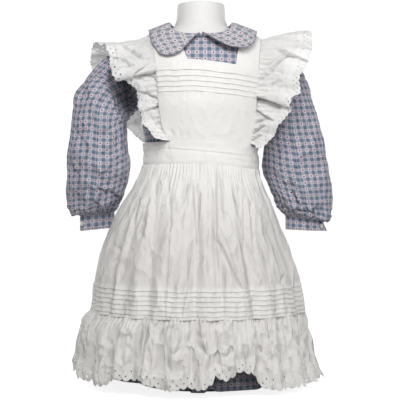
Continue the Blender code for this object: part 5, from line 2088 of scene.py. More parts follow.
@dataclass(frozen=True)
class Bib:
    """Tucked bib with a square neckline, and the front straps cut in one with it.

    corners are the heights of the neckline's corners, and straps is where the straps' inner
    edges cross the shoulders.
    """

    creases: tuple[Crease, ...]
    shift: float = 0.016
    neck_half_width: float = 0.037
    corners: tuple[float, float] = (0.5210, 0.5137)
    tucks: int = 5
    lowest: float = 0.4727
    spacing: float = 0.0082
    droop: float = 0.070
    relief: float = 0.0013
    plain_rows: int = 41
    yoke_rows: int = 8
    strap_rows: int = 59
    strap_cells: int = 22
    neck_cells: int = 50
    straps: tuple[float, float] = (-0.058, 0.065)
    strap_length: float = 0.07
    cut: Cut = Cut((0.19, 0.22), "stretched", "bodice_front_cloth", 0.0320)

    def _spread(self, ends: Sequence[Array]) -> Array:
        """Spreads columns over the left strap, the neckline and the right strap."""
        return spaced(ends, (self.strap_cells, self.neck_cells, self.strap_cells))

    def _neck(self) -> tuple[float, float]:
        """The sides of the neckline."""
        return self.shift - self.neck_half_width, self.shift + self.neck_half_width

    def _marks(self, lines: dict[Side, RuffleLine], height: Array) -> Array:
        """Distances from the middle of each row's points."""
        inner = (edge * np.ones_like(height) for edge in self._neck())
        return self._spread((lines[Side.LEFT].x_at(height), *inner, lines[Side.RIGHT].x_at(height)))

    def _droop(self, x: Array) -> Array:
        """How far the tucks hang down towards +X."""
        return self.droop * np.maximum(x + 0.02, 0.0)

    def _neckline(self, lines: dict[Side, RuffleLine]) -> tuple[Array, Array]:
        """Distances from the middle and heights of the row that ends at the neckline.

        Args:
            lines: The ruffle seams that bound the bib.

        Returns:
            The distances and the heights.
        """
        left, right = lines[Side.LEFT], lines[Side.RIGHT]
        ends = (left.seam_x.at(CHEST_STATION), *self._neck(), right.seam_x.at(CHEST_STATION))
        return self._spread(ends), self._spread((left.chest_height(), *self.corners, right.chest_height()))

    def _front(self, lines: dict[Side, RuffleLine]) -> tuple[Array, Array, Array]:
        """Distances from the middle, heights and relief of the rows up to the neckline.

        Args:
            lines: The ruffle seams that bound the bib.

        Returns:
            The three measures, in rows.
        """
        level = np.linspace(0.0, 1.0, self.plain_rows + 1)[:-1]
        plain_x = self._marks(lines, WAISTBAND_TOP + (self.lowest - WAISTBAND_TOP) * level)
        bottom = band_top(plain_x) - 0.004
        plain = bottom + (self.lowest - 0.002 - self._droop(plain_x) - bottom) * level[:, None]

        rows, share = tuck_rows(self.lowest, self.spacing, self.tucks)
        tuck_x = self._marks(lines, rows)
        sway = 0.0009 * Crumple(103, 0.022, 2).at(tuck_x, 0.12 * rows[:, None])
        tucked = rows[:, None] - self._droop(tuck_x) + sway
        uneven = 0.9 + 0.5 * Crumple(104, 0.030, 2).at(tuck_x, 3.0 * rows[:, None])
        relief = share[:, None] * self.relief * uneven

        top_x, top = self._neckline(lines)
        rise = np.linspace(0.0, 1.0, self.yoke_rows + 1)[1:, None]
        yoke_x = tuck_x[-1] + (top_x - tuck_x[-1]) * rise
        yoke = tucked[-1] + (top - tucked[-1]) * rise
        relief = np.concatenate((np.zeros_like(plain_x), relief, np.zeros_like(yoke_x)))
        return np.concatenate((plain_x, tuck_x, yoke_x)), np.concatenate((plain, tucked, yoke)), relief

    def _over(self, lines: dict[Side, RuffleLine], climb: Array) -> Array:
        """Points of the straps, from the neckline up to the shoulder ridge.

        Args:
            lines: The ruffle seams that bound the bib.
            climb: Share of the way up, for each row.

        Returns:
            The points.
        """
        outward = np.sin(climb * np.pi / 2)
        station = CHEST_STATION + 2 * climb
        inner = (edge + (strap - edge) * outward for edge, strap in zip(self._neck(), self.straps))
        x = self._spread((lines[Side.LEFT].seam_x.at(station), *inner, lines[Side.RIGHT].seam_x.at(station)))
        dents = 0.0005 * Crumple(102, 0.018, 2).at(x, climb[:, None] * 0.06)
        return over_shoulder(x, climb[:, None], self._neckline(lines)[1], PINAFORE_FACE - dents)

    def _trim(self, grid: ClothGrid, neck_row: int) -> None:
        """Sews the neckline, the straps and the tucks, and rolls the neckline's edges.

        Args:
            grid: The bib's cloth.
            neck_row: Row of the neckline.
        """
        left, right = self.strap_cells, self.strap_cells + self.neck_cells
        above, beside = slice(neck_row, None), slice(left, right + 1)
        NOTIONS.sew("bib", edge_line(grid, row=neck_row - 2, part=slice(left - 2, right + 3)))
        NOTIONS.roll("bib", edge_line(grid, row=neck_row, part=beside, out=-0.0003))
        for column, stitched in ((left, left - 3), (right, right + 3)):
            NOTIONS.roll("bib", edge_line(grid, column=column, part=above, out=-0.0003))
            NOTIONS.sew("bib", edge_line(grid, column=stitched, part=slice(neck_row - 2, None)))
        for tuck in range(self.tucks):
            NOTIONS.sew("bib", edge_line(grid, row=self.plain_rows + tuck * TUCK_ROWS + TUCK_STITCH))

    def build(self, lines: dict[Side, RuffleLine]) -> None:
        """Builds the bib up to the shoulder ridge.

        Args:
            lines: The ruffle seams that bound it.
        """
        x, height, relief = self._front(lines)
        dents = 0.0011 * Crumple(101, 0.024, 3, 1.4, 0.5).at(x, height) + creased(self.creases, x, height)
        front = TORSO_FORM.at(x, height, PINAFORE_FACE + relief - dents)
        climb = np.linspace(0.0, 1.0, self.strap_rows + 1)[1:]
        points = np.concatenate((front, self._over(lines, climb)))
        middle = height[:, height.shape[1] // 2]
        up = np.concatenate((middle - middle[0], middle[-1] - middle[0] + climb * self.strap_length))
        neck_row = len(x) - 1
        kept = np.ones((len(points) - 1, points.shape[1] - 1), bool)
        kept[neck_row:, self.strap_cells:self.strap_cells + self.neck_cells] = False
        grid = ClothGrid(points, flat_places(self._neckline(lines)[0], up), kept=kept)
        self.cut.wear(grid, "pinafore_bib", PRESSED)
        self._trim(grid, neck_row)


@dataclass(frozen=True)
class BackStrap:
    """A strap from the shoulder ridge to the back of the waistband, placed by its inner edge."""

    side: Side
    waist_x: float
    chest_x: float
    ridge_x: float
    width: float
    columns: int = 24
    rows: int = 60
    shoulder_rows: int = 49

    def build(self, line: RuffleLine) -> None:
        """Builds the strap.

        Args:
            line: The ruffle seam that bounds it.
        """
        start = line.chest_height(True)
        level = np.linspace(0.0, 1.0, self.rows)
        height = WAISTBAND_TOP + (start - WAISTBAND_TOP) * level
        inner = self.waist_x + (self.chest_x - self.waist_x) * level
        x = spaced((inner, line.x_at(height, True)), (self.columns,))
        bottom = band_top(x) - 0.004
        high = bottom + (start - bottom) * level[:, None]
        dents = 0.0006 * Crumple(111, 0.018, 3).at(x, high)
        lower = TORSO_FORM.at(x, high, PINAFORE_FACE - dents, True)
        climb = np.linspace(0.0, 1.0, self.shoulder_rows + 1)[1:]
        inner = self.chest_x + (self.ridge_x - self.chest_x) * np.sin(climb * np.pi / 2)
        x = spaced((inner, line.seam_x.at(LAST_STATION - CHEST_STATION - 2 * climb)), (self.columns,))
        points = np.concatenate((lower, over_shoulder(x, climb[:, None], start, PINAFORE_FACE, True)))
        up = np.concatenate((height, start + climb * 0.07))
        flat = flat_places(np.linspace(0.0, 0.045, self.columns + 1), up)
        grid = ClothGrid(points if self.side is Side.LEFT else points[:, ::-1], flat)
        cut = Cut((self.width, 0.21), "stretched", f"bodice_back_{self.side.value}_cloth")
        cut.wear(grid, f"back_strap_{self.side.value}", PRESSED)
        NOTIONS.sew("back_strap", edge_line(grid, column=2 if self.side is Side.LEFT else -3))


@dataclass(frozen=True)
class Ruffle:
    """Gathered shoulder ruffle with an eyelet border and a scalloped edge.

    bow arches it between its seam and its edge, and sag takes that arch away at the shoulder.
    """

    side: Side
    creases: tuple[Crease, ...]
    back_creases: tuple[Crease, ...]
    sag: float = 0.0
    dents: float = 0.0036
    ragged: float = 0.0034
    width: float = 0.072
    scallops: int = 68
    per_scallop: int = 6
    rows: int = 34
    waves: int = 10
    start: float = -0.0020
    lift: float = -0.0006
    bow: float = 0.3
    scallop: float = 0.0024
    border: float = 0.66
    gather: float = 0.0034
    gather_pitch: float = 0.0088
    ripple: float = 0.0026
    ripple_pitch: float = 0.026
    cut: Cut = Cut((0.70, 0.060), "gathered", "pinafore_bib_cloth", wall=0.0007, outward=0.0)

    @property
    def columns(self) -> int:
        """Cells along the ruffle."""
        return self.scallops * self.per_scallop

    def _hung(self, line: RuffleLine, along: Array, share: Array) -> Array:
        """Points of the ruffle, along its seam and out towards its edge.

        Args:
            line: Its seam and its free edge.
            along: Share of the way along the seam.
            share: Share of the way out to the edge.

        Returns:
            The points.
        """
        station = LAST_STATION * along
        seam = line.seam(station, PINAFORE_OFFSET + CLOTH / 2)
        normal = unit(line.seam(station, 0.02) - line.seam(station, 0.0))
        edge = line.edge(station)
        out = edge - seam
        ahead = line.edge(np.minimum(station + 0.1, LAST_STATION)) - line.edge(np.maximum(station - 0.1, 0.0))
        start = seam + unit(out) * self.start + normal * self.lift
        lift = unit(np.cross(out, ahead))
        swing = line.wave.at(station) * np.cos(2 * np.pi * self.waves * along)
        share = share[:, None, None]
        sagging = 1.0 - self.sag * np.exp(-(((station - SHOULDER_STATION) / 1.4) ** 2))
        arch = self.bow * sagging * np.linalg.norm(out, axis=-1)
        bow = normal * arch[:, None] * share * (1 - share)
        return start + (edge - start) * share + bow + lift * swing[:, None] * share

    def _trimmed(self, points: Array, across: Array, share: Array) -> Array:
        """Points cut to scallops, with the uneven edge of worn cloth.

        Args:
            points: Points of the cloth.
            across: Place across the cloth, in metres.
            share: Share of the way out to the edge.

        Returns:
            The points, cut.
        """
        lobe = np.abs(np.sin(np.pi * np.arange(self.columns + 1) / self.per_scallop))
        pull = self.scallop * (1.0 - lobe) * ease((share - 0.86) / 0.14)
        tears = Crumple(125 + int(self.side.sign), 0.026, 3, 1.0, 0.4)
        torn = 0.4 + tears.at(across[:1], np.zeros_like(across[:1]))
        pull = pull + self.ragged * torn * ease((share - 0.5) / 0.5)
        return points - unit(points[-1] - points[-3])[None] * pull[..., None]

    def _relief(self, points: Array, across: Array, up: Array, share: Array) -> Array:
        """How far the worn ruffle's cloth lies in from its hung shape.

        Args:
            points: Points of the cloth.
            across: Place across the cloth, in metres.
            up: Place up the cloth, in metres.
            share: Share of the way out to the edge.

        Returns:
            The distance at each point.
        """
        seed = int(self.side.sign)
        drawn = self.gather * pleats(across, self.gather_pitch, 121 + seed)
        gathers = drawn * (1.0 - share) ** 1.6 * ease(share / 0.05)
        ripple = self.ripple * (pleats(across, self.ripple_pitch, 141 + seed) - 0.5) * share
        bordered = ease((share - self.border + 0.02) / 0.02)
        dents = self.dents * Crumple(131 + seed, 0.026, 3, 1.0, 0.6).at(across, up) * ease(share * 3)
        inset = creased_from_front(self.creases, self.back_creases, points) * (1.0 - 0.5 * bordered)
        return gathers + ripple + (inset + dents * (1.0 - 0.6 * bordered) - 0.0008 * bordered)

    def build(self, line: RuffleLine) -> None:
        """Builds the ruffle.

        Args:
            line: Its seam and its free edge.
        """
        fine = np.linspace(0.0, 1.0, 3001)
        travelled = travelled_along(self._hung(line, fine, np.array([0.75]))[0])
        even = np.linspace(0.0, travelled[-1], self.columns + 1)
        share = np.linspace(0.0, 1.0, self.rows)
        flat = flat_places(even, share * self.width)
        points = self._hung(line, np.interp(even, travelled, fine), share)
        share = share[:, None]
        points = self._trimmed(points, flat[..., 0], share)
        across, up = flat[..., 0], flat[..., 1]
        if self.side is Side.RIGHT:
            points, across = points[:, ::-1], across[:, ::-1]
            flat = stacked(travelled[-1] - across, up)
        grid = ClothGrid(points, flat)
        grid.points = points - grid.normals() * self._relief(points, across, up, share)[..., None]
        lobes = range(self.per_scallop // 2, self.columns, self.per_scallop)
        grid.eyelets = [(self.rows - 4, i) for i in lobes]
        between = range(self.per_scallop, self.columns - 1, self.per_scallop)
        grid.eyelets += [(self.rows - 7, i) for i in between]
        self.cut.wear(grid, f"ruffle_{self.side.value}", RUFFLED)
        NOTIONS.pierce(grid)
        NOTIONS.roll("ruffle", edge_line(grid, row=-1, out=0.0))
        NOTIONS.roll("ruffle_border", edge_line(grid, row=round(self.border * (self.rows - 1)), out=0.0003))
        NOTIONS.roll("ruffle_seam", edge_line(grid, row=0, out=0.0))


@dataclass(frozen=True)
class Waistband:
    """Waistband that laps and buttons at centre back."""

    creases: tuple[Crease, ...]
    columns: int = 260
    lap: float = 0.16
    button_angle: float = np.pi + 0.07
    cut: Cut = Cut((0.60, 0.038), "folded", "pinafore_bib_cloth", wall=0.0016)

    def _band(self) -> ClothGrid:
        """The band's cloth, rolled in at its edges and lifted where it laps."""
        angle = np.linspace(-np.pi, np.pi + self.lap, self.columns)[None]
        level = np.concatenate(([0.0, 0.012], np.linspace(0.03, 0.97, 26), [0.988, 1.0]))[:, None]
        rise = LAP_LIFT * ease((angle - (np.pi - 0.30)) / 0.24)
        height = band_top(WAISTBAND_HALF_WIDTH * np.sin(angle)) - WAISTBAND_HEIGHT * (1.0 - level)
        across = angle * 0.090
        inset = creased_from_front(self.creases, self.creases, TORSO_FORM.base(angle, height))
        calm = ease(np.minimum(level, 1.0 - level) * 8)
        dents = (0.0005 * Crumple(151, 0.016, 3).at(across, height) + inset) * calm
        offset = WAISTBAND_OFFSET + CLOTH + rise - dents - 0.0006 * (1.0 - calm) + 0.0002
        return ClothGrid(TORSO_FORM.point(angle, height, offset), stacked(across, height))

    def build(self) -> None:
        """Builds the band and its button."""
        band = self._band()
        self.cut.wear(band, "waistband", PRESSED)
        for row in (3, -4):
            NOTIONS.sew("waistband", edge_line(band, row=row))
        at = (np.array(self.button_angle), np.array(WAISTBAND_TOP - WAISTBAND_HEIGHT / 2))
        seat = TORSO_FORM.point(*at, WAISTBAND_OFFSET + LAP_LIFT + CLOTH + 0.0006)
        Button().build("waistband_button_shell", "waistband_button", seat, TORSO_FORM.normal(*at))


@dataclass(frozen=True)
class PinaforeSkirt:
    """Gathered skirt with a run of tucks above its lower edge.

    Its columns stand closer in front, where front_share is their crowding.
    """

    creases: tuple[Crease, ...]
    back_creases: tuple[Crease, ...]
    columns: int = 400
    plain_rows: int = 71
    seam: float = FLOUNCE_SEAM
    tucks: int = 6
    lowest: float = 0.1235
    spacing: float = 0.0073
    relief: float = 0.0013
    girth: float = 1.10
    front_share: float = 0.4
    gather: float = 0.0034
    gather_pitch: float = 0.0098
    broad: float = 0.0030
    broad_pitch: float = 0.030
    dents: float = 0.0030
    puckers: float = 0.0010
    crinkle: float = 0.0004
    sway: float = 0.0012
    cut: Cut = Cut((1.10, 0.26), "gathered", "dress_skirt_cloth")

    def _rows(self, turns: Array, band_low: Array) -> tuple[Array, Array]:
        """Heights of the rows, and how far the tucks stand out.

        Args:
            turns: Share of the way round.
            band_low: Height of the waistband's lower edge.

        Returns:
            The heights and the relief.
        """
        tucked, share = tuck_rows(self.lowest, self.spacing, self.tucks)
        level = np.linspace(0.0, 1.0, self.plain_rows + 1)[1:, None]
        above = tucked[-1] + (band_low + 0.005 - tucked[-1]) * level
        low = np.concatenate(([self.seam - 0.0006, self.seam + 0.0016], tucked))
        height = np.concatenate((np.tile(low[:, None], (1, self.columns)), above))
        relief = np.concatenate((np.zeros(2), share * self.relief, np.zeros(len(level))))[:, None]
        across = turns * self.girth * np.ones_like(height)
        relief = relief * (0.8 + 0.5 * Crumple(165, 0.020, 2).at(across, 7.0 * height, self.girth))
        sway = self.sway * Crumple(167, 0.025, 3).at(across[:1], np.zeros_like(across[:1]), self.girth)
        height = height + sway * ease((0.20 - height) / 0.03) * ease((height - self.seam) / 0.006)
        return height, relief

    def _gathers(self, across: Array, height: Array, drop: Array) -> Array:
        """Depth of the gathers, dents and puckers, with the top drawn in behind the waistband.

        Args:
            across: Place across the cloth, in metres.
            height: Height over the floor.
            drop: Distance below the waistband.

        Returns:
            The depth at each point.
        """
        girth = self.girth
        length = 0.040 + 0.028 * Crumple(163, 0.03, 2).at(across, np.zeros_like(across), girth)
        fine = self.gather * pleats(across, self.gather_pitch, 161, girth) * np.exp(-((drop / length) ** 2))
        spread = ease(drop / 0.04) * ease((height - 0.12) / 0.10 + 0.35)
        broad = self.broad * pleats(across, self.broad_pitch, 171, girth) * spread
        dents = self.dents * Crumple(181, 0.036, 3, 1.8, 0.6).at(across, height, girth) * ease(drop / 0.02)
        puckers = self.puckers * pleats(across, 0.021, 191, girth) * ease((0.172 - height) / 0.03)
        small = self.crinkle * Crumple(195, 0.008, 2).at(across, height, girth)
        small = small * ease((0.175 - height) / 0.02)
        return fine + broad + dents + puckers + small

    def build(self) -> None:
        """Builds the skirt, from the flounce's seam up behind the waistband."""
        form = SkirtForm(PINAFORE_SKIRT)
        turns = np.linspace(0.0, 1.0, self.columns + 1)
        turns = turns - self.front_share * np.sin(2 * np.pi * turns) / (2 * np.pi)
        angle = 2 * np.pi * turns[None, :-1]
        band_low = band_top(WAISTBAND_HALF_WIDTH * np.sin(angle)) - WAISTBAND_HEIGHT
        height, relief = self._rows(turns[None, :-1], band_low)
        across = turns[None, :-1] * self.girth * np.ones_like(height)
        drop = np.maximum(band_low + 0.001 - height, 0.0)
        folds = fold_inset(angle, height)
        hung = form.point(angle, height, folds)
        creases = creased_from_front(self.creases, self.back_creases, hung) * ease(drop / 0.01)
        behind = 0.0040 * ease((height - band_low + 0.001) / 0.004)
        inset = folds + self._gathers(across, height, drop) + behind - relief + creases
        flat = stacked(turns[None] * self.girth, height[:, :1])
        grid = ClothGrid(form.point(angle, height, inset), flat, closed=True)
        self.cut.wear(grid, "pinafore_skirt", WHITE)
        for tuck in range(self.tucks):
            NOTIONS.sew("skirt_tucks", edge_line(grid, row=2 + tuck * TUCK_ROWS + TUCK_STITCH), True)


@dataclass(frozen=True)
class Flounce:
    """Gathered flounce with an eyelet border and a scalloped hem."""

    creases: tuple[Crease, ...]
    scallops: int = 112
    per_scallop: int = 8
    rows: int = 41
    seam: float = FLOUNCE_SEAM
    width: float = 0.105
    waves: int = 27
    gather: float = 0.0020
    hem_wave: float = 0.0075
    uneven: float = 0.05
    lost: float = 0.45
    scallop: float = 0.0034
    border: float = 0.78
    fine: float = 0.0036
    fine_pitch: float = 0.0088
    ripple: float = 0.0042
    ripple_pitch: float = 0.024
    dents: float = 0.0056
    torn: float = 0.0022
    set_back: float = 0.0016
    cut: Cut = Cut((1.60, 0.105), "gathered", "dress_skirt_cloth", wall=0.0007)

    @property
    def columns(self) -> int:
        """Cells round the flounce."""
        return self.scallops * self.per_scallop

    def _hung(self, angle: Array, level: Array) -> Array:
        """How far the hanging flounce lies in from its outline.

        Args:
            angle: Angle from centre front, towards +X.
            level: Share of the way down to the hem.

        Returns:
            The distance at each place.
        """
        shifted = angle + self.uneven * np.sin(3 * angle) * level
        depth = self.gather + self.hem_wave * level
        folds = fold_inset(angle, np.array(self.seam)) * (1.0 - self.lost * level)
        return depth * (0.5 - 0.5 * np.cos(self.waves * shifted)) + folds

    def _heights(self, angle: Array, level: Array, across: Array, girth: float) -> Array:
        """Heights of the rows, with the scalloped and uneven edge of the worn hem.

        Args:
            angle: Angle from centre front, towards +X.
            level: Share of the way down to the hem.
            across: Place across the cloth, in metres.
            girth: Length round the hem.

        Returns:
            The heights.
        """
        lobe = np.abs(np.sin(np.pi * np.arange(self.columns) / self.per_scallop))
        round_hem = (across[:1], np.zeros_like(across[:1]), girth)
        ragged = 1.0 + Crumple(231, 0.016, 2).at(*round_hem)
        torn = self.torn * Crumple(233, 0.020, 3, 1.0, 0.5).at(*round_hem)
        cut = self.scallop * (1.0 - lobe) * ragged * ease((level - 0.90) / 0.10)
        cut = cut + torn * ease((level - 0.6) / 0.4)
        hem = HEM.at(from_front(angle)) - 0.0006
        return self.seam + (hem - self.seam) * level + cut

    def _relief(self, level: Array, height: Array, across: Array, creases: Array, girth: float) -> Array:
        """How far the worn flounce's cloth lies in from its hanging shape.

        Args:
            level: Share of the way down to the hem.
            height: Height over the floor.
            across: Place across the cloth, in metres.
            creases: Depth of the creases.
            girth: Length round the hem.

        Returns:
            The distance at each point.
        """
        length = 0.030 + 0.020 * Crumple(203, 0.03, 2).at(across, np.zeros_like(across), girth)
        drawn = self.fine * pleats(across, self.fine_pitch, 201, girth)
        gathers = drawn * np.exp(-((level * 0.1 / length) ** 2))
        ripple = self.ripple * (pleats(across, self.ripple_pitch, 211, girth) - 0.45) * ease(level * 1.4)
        dents = self.dents * Crumple(221, 0.030, 3, 2.2, 0.7).at(across, height, girth) * ease(level * 4)
        behind = self.set_back * ease((0.035 - level) / 0.035)
        bordered = ease((level - self.border + 0.01) / 0.01)
        return gathers + ripple + behind + (dents + creases) * (1.0 - 0.2 * bordered) - 0.0007 * bordered

    def build(self) -> None:
        """Builds the flounce."""
        form = SkirtForm(FLOUNCE)
        fine = np.linspace(0.0, 2 * np.pi, 6001)
        travelled = travelled_along(form.point(fine, np.array(0.03), self._hung(fine, np.array(0.85))))
        girth = travelled[-1]
        even = np.linspace(0.0, girth, self.columns + 1)
        angle = np.interp(even, travelled, fine)[None, :-1]
        level = np.linspace(1.0, 0.0, self.rows)[:, None]
        across = even[None, :-1] * np.ones_like(level)
        height = self._heights(angle, level, across, girth)
        hung = self._hung(angle, level)
        creases = creased_from_front(self.creases, self.creases, form.point(angle, height, hung))
        inset = hung + self._relief(level, height, across, creases, girth)
        points = form.point(angle, height + 0.0035 * ease((0.03 - level) / 0.03), inset)
        grid = ClothGrid(points, flat_places(even, (1.0 - level[:, 0]) * self.width), closed=True)
        grid.eyelet_share = 0.58
        grid.eyelets = [(3, i) for i in range(self.per_scallop // 2, self.columns, self.per_scallop)]
        grid.eyelets += [(6, i) for i in range(self.per_scallop, self.columns, self.per_scallop)]
        self.cut.wear(grid, "flounce", FLOUNCED)
        NOTIONS.pierce(grid)
        NOTIONS.roll("flounce", edge_line(grid, row=0, out=-0.0003), True)
        NOTIONS.sew("flounce", edge_line(grid, row=-3), True)
        border = round((1.0 - self.border) * (self.rows - 1))
        NOTIONS.roll("flounce_border", edge_line(grid, row=border, out=0.0003), True)


# ---------------------------------------------------------------- studio
@dataclass(frozen=True)
class Lamp:
    """A large soft light that faces the garment's middle."""

    name: str
    place: tuple[float, float, float]
    size: float
    power: float

    def build(self) -> None:
        """Adds the light."""
        data = bpy.data.lights.new(self.name, "AREA")
        data.shape, data.size, data.energy = "SQUARE", self.size, self.power
        light = link(self.name, data)
        light.location = self.place
        way = Vector((0.0, 0.0, 0.3)) - Vector(self.place)
        light.rotation_euler = way.to_track_quat("-Z", "Y").to_euler()


@dataclass(frozen=True)
class Studio:
    """Plain white studio: a pale floor, even light and the camera."""

    lens: float = 97.6
    sensor: float = 36.0
    eye: tuple[float, float, float] = (-0.00166, -1.8, 0.30)
    ambient: float = 0.27
    backdrop: float = 1.05
    glow: float = 0.87
    floor_half: float = 6.0
    floor_height: float = -0.0005
    lamps: tuple[Lamp, ...] = (
        Lamp("key", (-0.14, -1.05, 1.20), 0.40, 7.6),
        Lamp("side", (0.95, -1.15, 0.75), 0.6, 3.8),
        Lamp("front", (0.10, -1.45, 1.05), 0.6, 7.6),
        Lamp("back_left", (-0.80, 1.10, 0.60), 0.5, 9.5),
        Lamp("back_right", (0.80, 1.10, 0.60), 0.5, 9.0),
    )

    def _world(self) -> None:
        """Makes the white surroundings, brighter to the camera than to the garment."""
        world = bpy.data.worlds.new("studio")
        world.use_nodes = True
        nodes, links = world.node_tree.nodes, world.node_tree.links
        sky = nodes["Background"]
        sky.inputs["Color"].default_value = (1.0, 1.0, 1.0, 1.0)
        seen = nodes.new("ShaderNodeLightPath")
        strength = nodes.new("ShaderNodeMapRange")
        strength.inputs["To Min"].default_value = self.ambient
        strength.inputs["To Max"].default_value = self.backdrop
        links.new(seen.outputs["Is Camera Ray"], strength.inputs["Value"])
        links.new(strength.outputs[0], sky.inputs["Strength"])
        bpy.context.scene.world = world

    def _floor(self) -> None:
        """Makes the floor, which also glows a little to the camera."""
        half = self.floor_half
        corners = ((-half, -half), (half, -half), (half, half), (-half, half))
        points = [(*corner, self.floor_height) for corner in corners]
        floor = link("floor", new_mesh("floor", points, faces=[(0, 1, 2, 3)]))
        plan = Plan("floor")
        cloud = plan.noise(plan.place(), 2.0)
        seen = plan.add("ShaderNodeLightPath").outputs["Is Camera Ray"]
        plan.dress(Base_Color=plan.mix(cloud, (0.62, 0.62, 0.62), (0.59, 0.59, 0.59)), Roughness=0.9,
                   Emission_Color=(1.0, 1.0, 1.0, 1.0),
                   Emission_Strength=plan.math("MULTIPLY", seen, self.glow))
        floor.data.materials.append(plan.material)
        floor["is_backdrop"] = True

    def build(self) -> None:
        """Builds the floor, the light and the camera."""
        scene = bpy.context.scene
        scene.view_settings.view_transform = "Standard"
        self._world()
        self._floor()
        for lamp in self.lamps:
            lamp.build()
        data = bpy.data.cameras.new("camera")
        data.lens, data.sensor_width = self.lens, self.sensor
        camera = link("camera", data)
        camera.location = self.eye
        camera.rotation_euler = (np.pi / 2, 0.0, 0.0)
        scene.camera = camera


# ---------------------------------------------------------------- creases
# Each runs from one place to another by x and z, in metres. The table's name says which cloth it is for.
SKIRT_CREASES = (
    Fold((-0.0045, 0.200), (-0.013, 0.340), 0.0070, 0.0080, 1.2, 0.0036),
    Fold((0.025, 0.364), (0.025, 0.194), 0.0065, 0.0080, 1.2, 0.0036),
    Fold((0.0245, 0.244), (0.066, 0.158), 0.0040, 0.0076, 2.2, 0.0030),
    Fold((0.026, 0.262), (0.058, 0.196), 0.0026, 0.0044, 2.0, 0.0012),
    Fold((0.072, 0.310), (0.0725, 0.208), 0.0045, 0.0074, 1.6, 0.0032),
    Fold((0.0725, 0.234), (0.098, 0.158), 0.0036, 0.0068, 1.6, 0.0028),
    Fold((0.083, 0.304), (0.086, 0.196), 0.0030, 0.0050, 1.5, 0.0022),
    Fold((-0.047, 0.276), (-0.053, 0.116), 0.0028, 0.0062, 1.8, 0.0024),
    Fold((-0.081, 0.158), (-0.077, 0.334), 0.0055, 0.0078, 1.6, 0.0034),
    Fold((-0.134, 0.156), (-0.101, 0.304), 0.0060, 0.0064, 1.6, 0.0028),
    Fold((-0.010, 0.220), (-0.030, 0.118), 0.0060, 0.0060, 1.6, 0.0026),
    Crease((-0.055, 0.335), (-0.047, 0.250), 0.0026, 0.0040, 1.6),
    Crease((0.031, 0.290), (0.053, 0.280), 0.0022, 0.0032),
    Crease((-0.149, 0.231), (-0.124, 0.217), 0.0026, 0.0034),
    Crease((-0.146, 0.200), (-0.126, 0.206), 0.0026, 0.0030),
    Crease((-0.120, 0.212), (-0.131, 0.171), 0.0028, 0.0035, 1.5),
    Crease((-0.097, 0.290), (-0.083, 0.283), 0.0020, 0.0030),
    Crease((-0.096, 0.268), (-0.083, 0.259), 0.0020, 0.0030),
    Crease((-0.098, 0.247), (-0.084, 0.240), 0.0020, 0.0028),
    Crease((-0.092, 0.226), (-0.082, 0.218), 0.0020, 0.0026),
    Crease((-0.012, 0.206), (0.004, 0.212), 0.0024, 0.0034),
    Crease((0.008, 0.245), (0.014, 0.178), 0.0034, 0.0034, 1.5),
    Crease((0.100, 0.262), (0.112, 0.190), 0.0060, 0.0038, 1.4),
    Crease((0.136, 0.182), (0.124, 0.166), 0.0026, 0.0040),
    Crease((0.060, 0.330), (0.064, 0.285), 0.0026, 0.0030, 1.5),
    Crease((-0.030, 0.345), (-0.034, 0.290), 0.0024, 0.0030, 1.5),
)
SKIRT_BACK_CREASES = (
    Fold((0.078, 0.320), (0.082, 0.160), 0.0060, 0.0054, 1.4, 0.0022),
    Fold((0.048, 0.185), (0.040, 0.338), 0.0060, 0.0050, 1.4, 0.0020),
    Fold((0.004, 0.340), (-0.003, 0.200), 0.0060, 0.0054, 1.4, 0.0022),
    Fold((-0.052, 0.170), (-0.030, 0.310), 0.0050, 0.0048, 1.5, 0.0018),
    Fold((-0.068, 0.325), (-0.080, 0.165), 0.0056, 0.0054, 1.4, 0.0022),
    Fold((-0.122, 0.170), (-0.106, 0.295), 0.0050, 0.0046, 1.5, 0.0018),
    Fold((0.110, 0.290), (0.128, 0.175), 0.0050, 0.0046, 1.5, 0.0018),
    Crease((0.018, 0.262), (0.034, 0.250), 0.0022, 0.0030),
    Crease((-0.094, 0.240), (-0.080, 0.232), 0.0022, 0.0028),
    Crease((0.060, 0.262), (0.066, 0.200), 0.0034, 0.0034, 1.5),
)
FLOUNCE_CREASES = (
    Fold((-0.096, 0.040), (-0.088, 0.112), 0.0060, 0.0060, 1.4, 0.0022),
    Fold((-0.058, 0.112), (-0.053, 0.024), 0.0060, 0.0060, 1.4, 0.0022),
    Fold((-0.018, 0.024), (-0.015, 0.112), 0.0050, 0.0060, 1.4, 0.0020),
    Fold((0.022, 0.110), (0.031, 0.040), 0.0050, 0.0060, 1.4, 0.0022),
    Fold((0.052, 0.040), (0.020, 0.054), 0.0034, 0.0046, 1.6, 0.0016),
    Fold((0.060, 0.110), (0.068, 0.044), 0.0060, 0.0060, 1.4, 0.0022),
    Fold((0.110, 0.034), (0.102, 0.108), 0.0060, 0.0056, 1.4, 0.0022),
    Fold((-0.128, 0.108), (-0.142, 0.044), 0.0060, 0.0056, 1.4, 0.0022),
    Crease((-0.006, 0.084), (0.004, 0.070), 0.0026, 0.0044),
    Crease((-0.010, 0.098), (0.012, 0.090), 0.0026, 0.0040),
    Crease((0.010, 0.072), (-0.006, 0.058), 0.0026, 0.0040),
    Crease((0.034, 0.086), (0.050, 0.074), 0.0028, 0.0046),
    Crease((0.050, 0.076), (0.036, 0.062), 0.0028, 0.0040),
    Crease((-0.152, 0.084), (-0.134, 0.072), 0.0030, 0.0040),
    Crease((-0.116, 0.078), (-0.104, 0.064), 0.0030, 0.0040),
    Crease((-0.040, 0.066), (-0.030, 0.080), 0.0028, 0.0036),
    Crease((0.084, 0.080), (0.094, 0.062), 0.0030, 0.0040),
    Crease((0.130, 0.076), (0.142, 0.062), 0.0030, 0.0040),
)
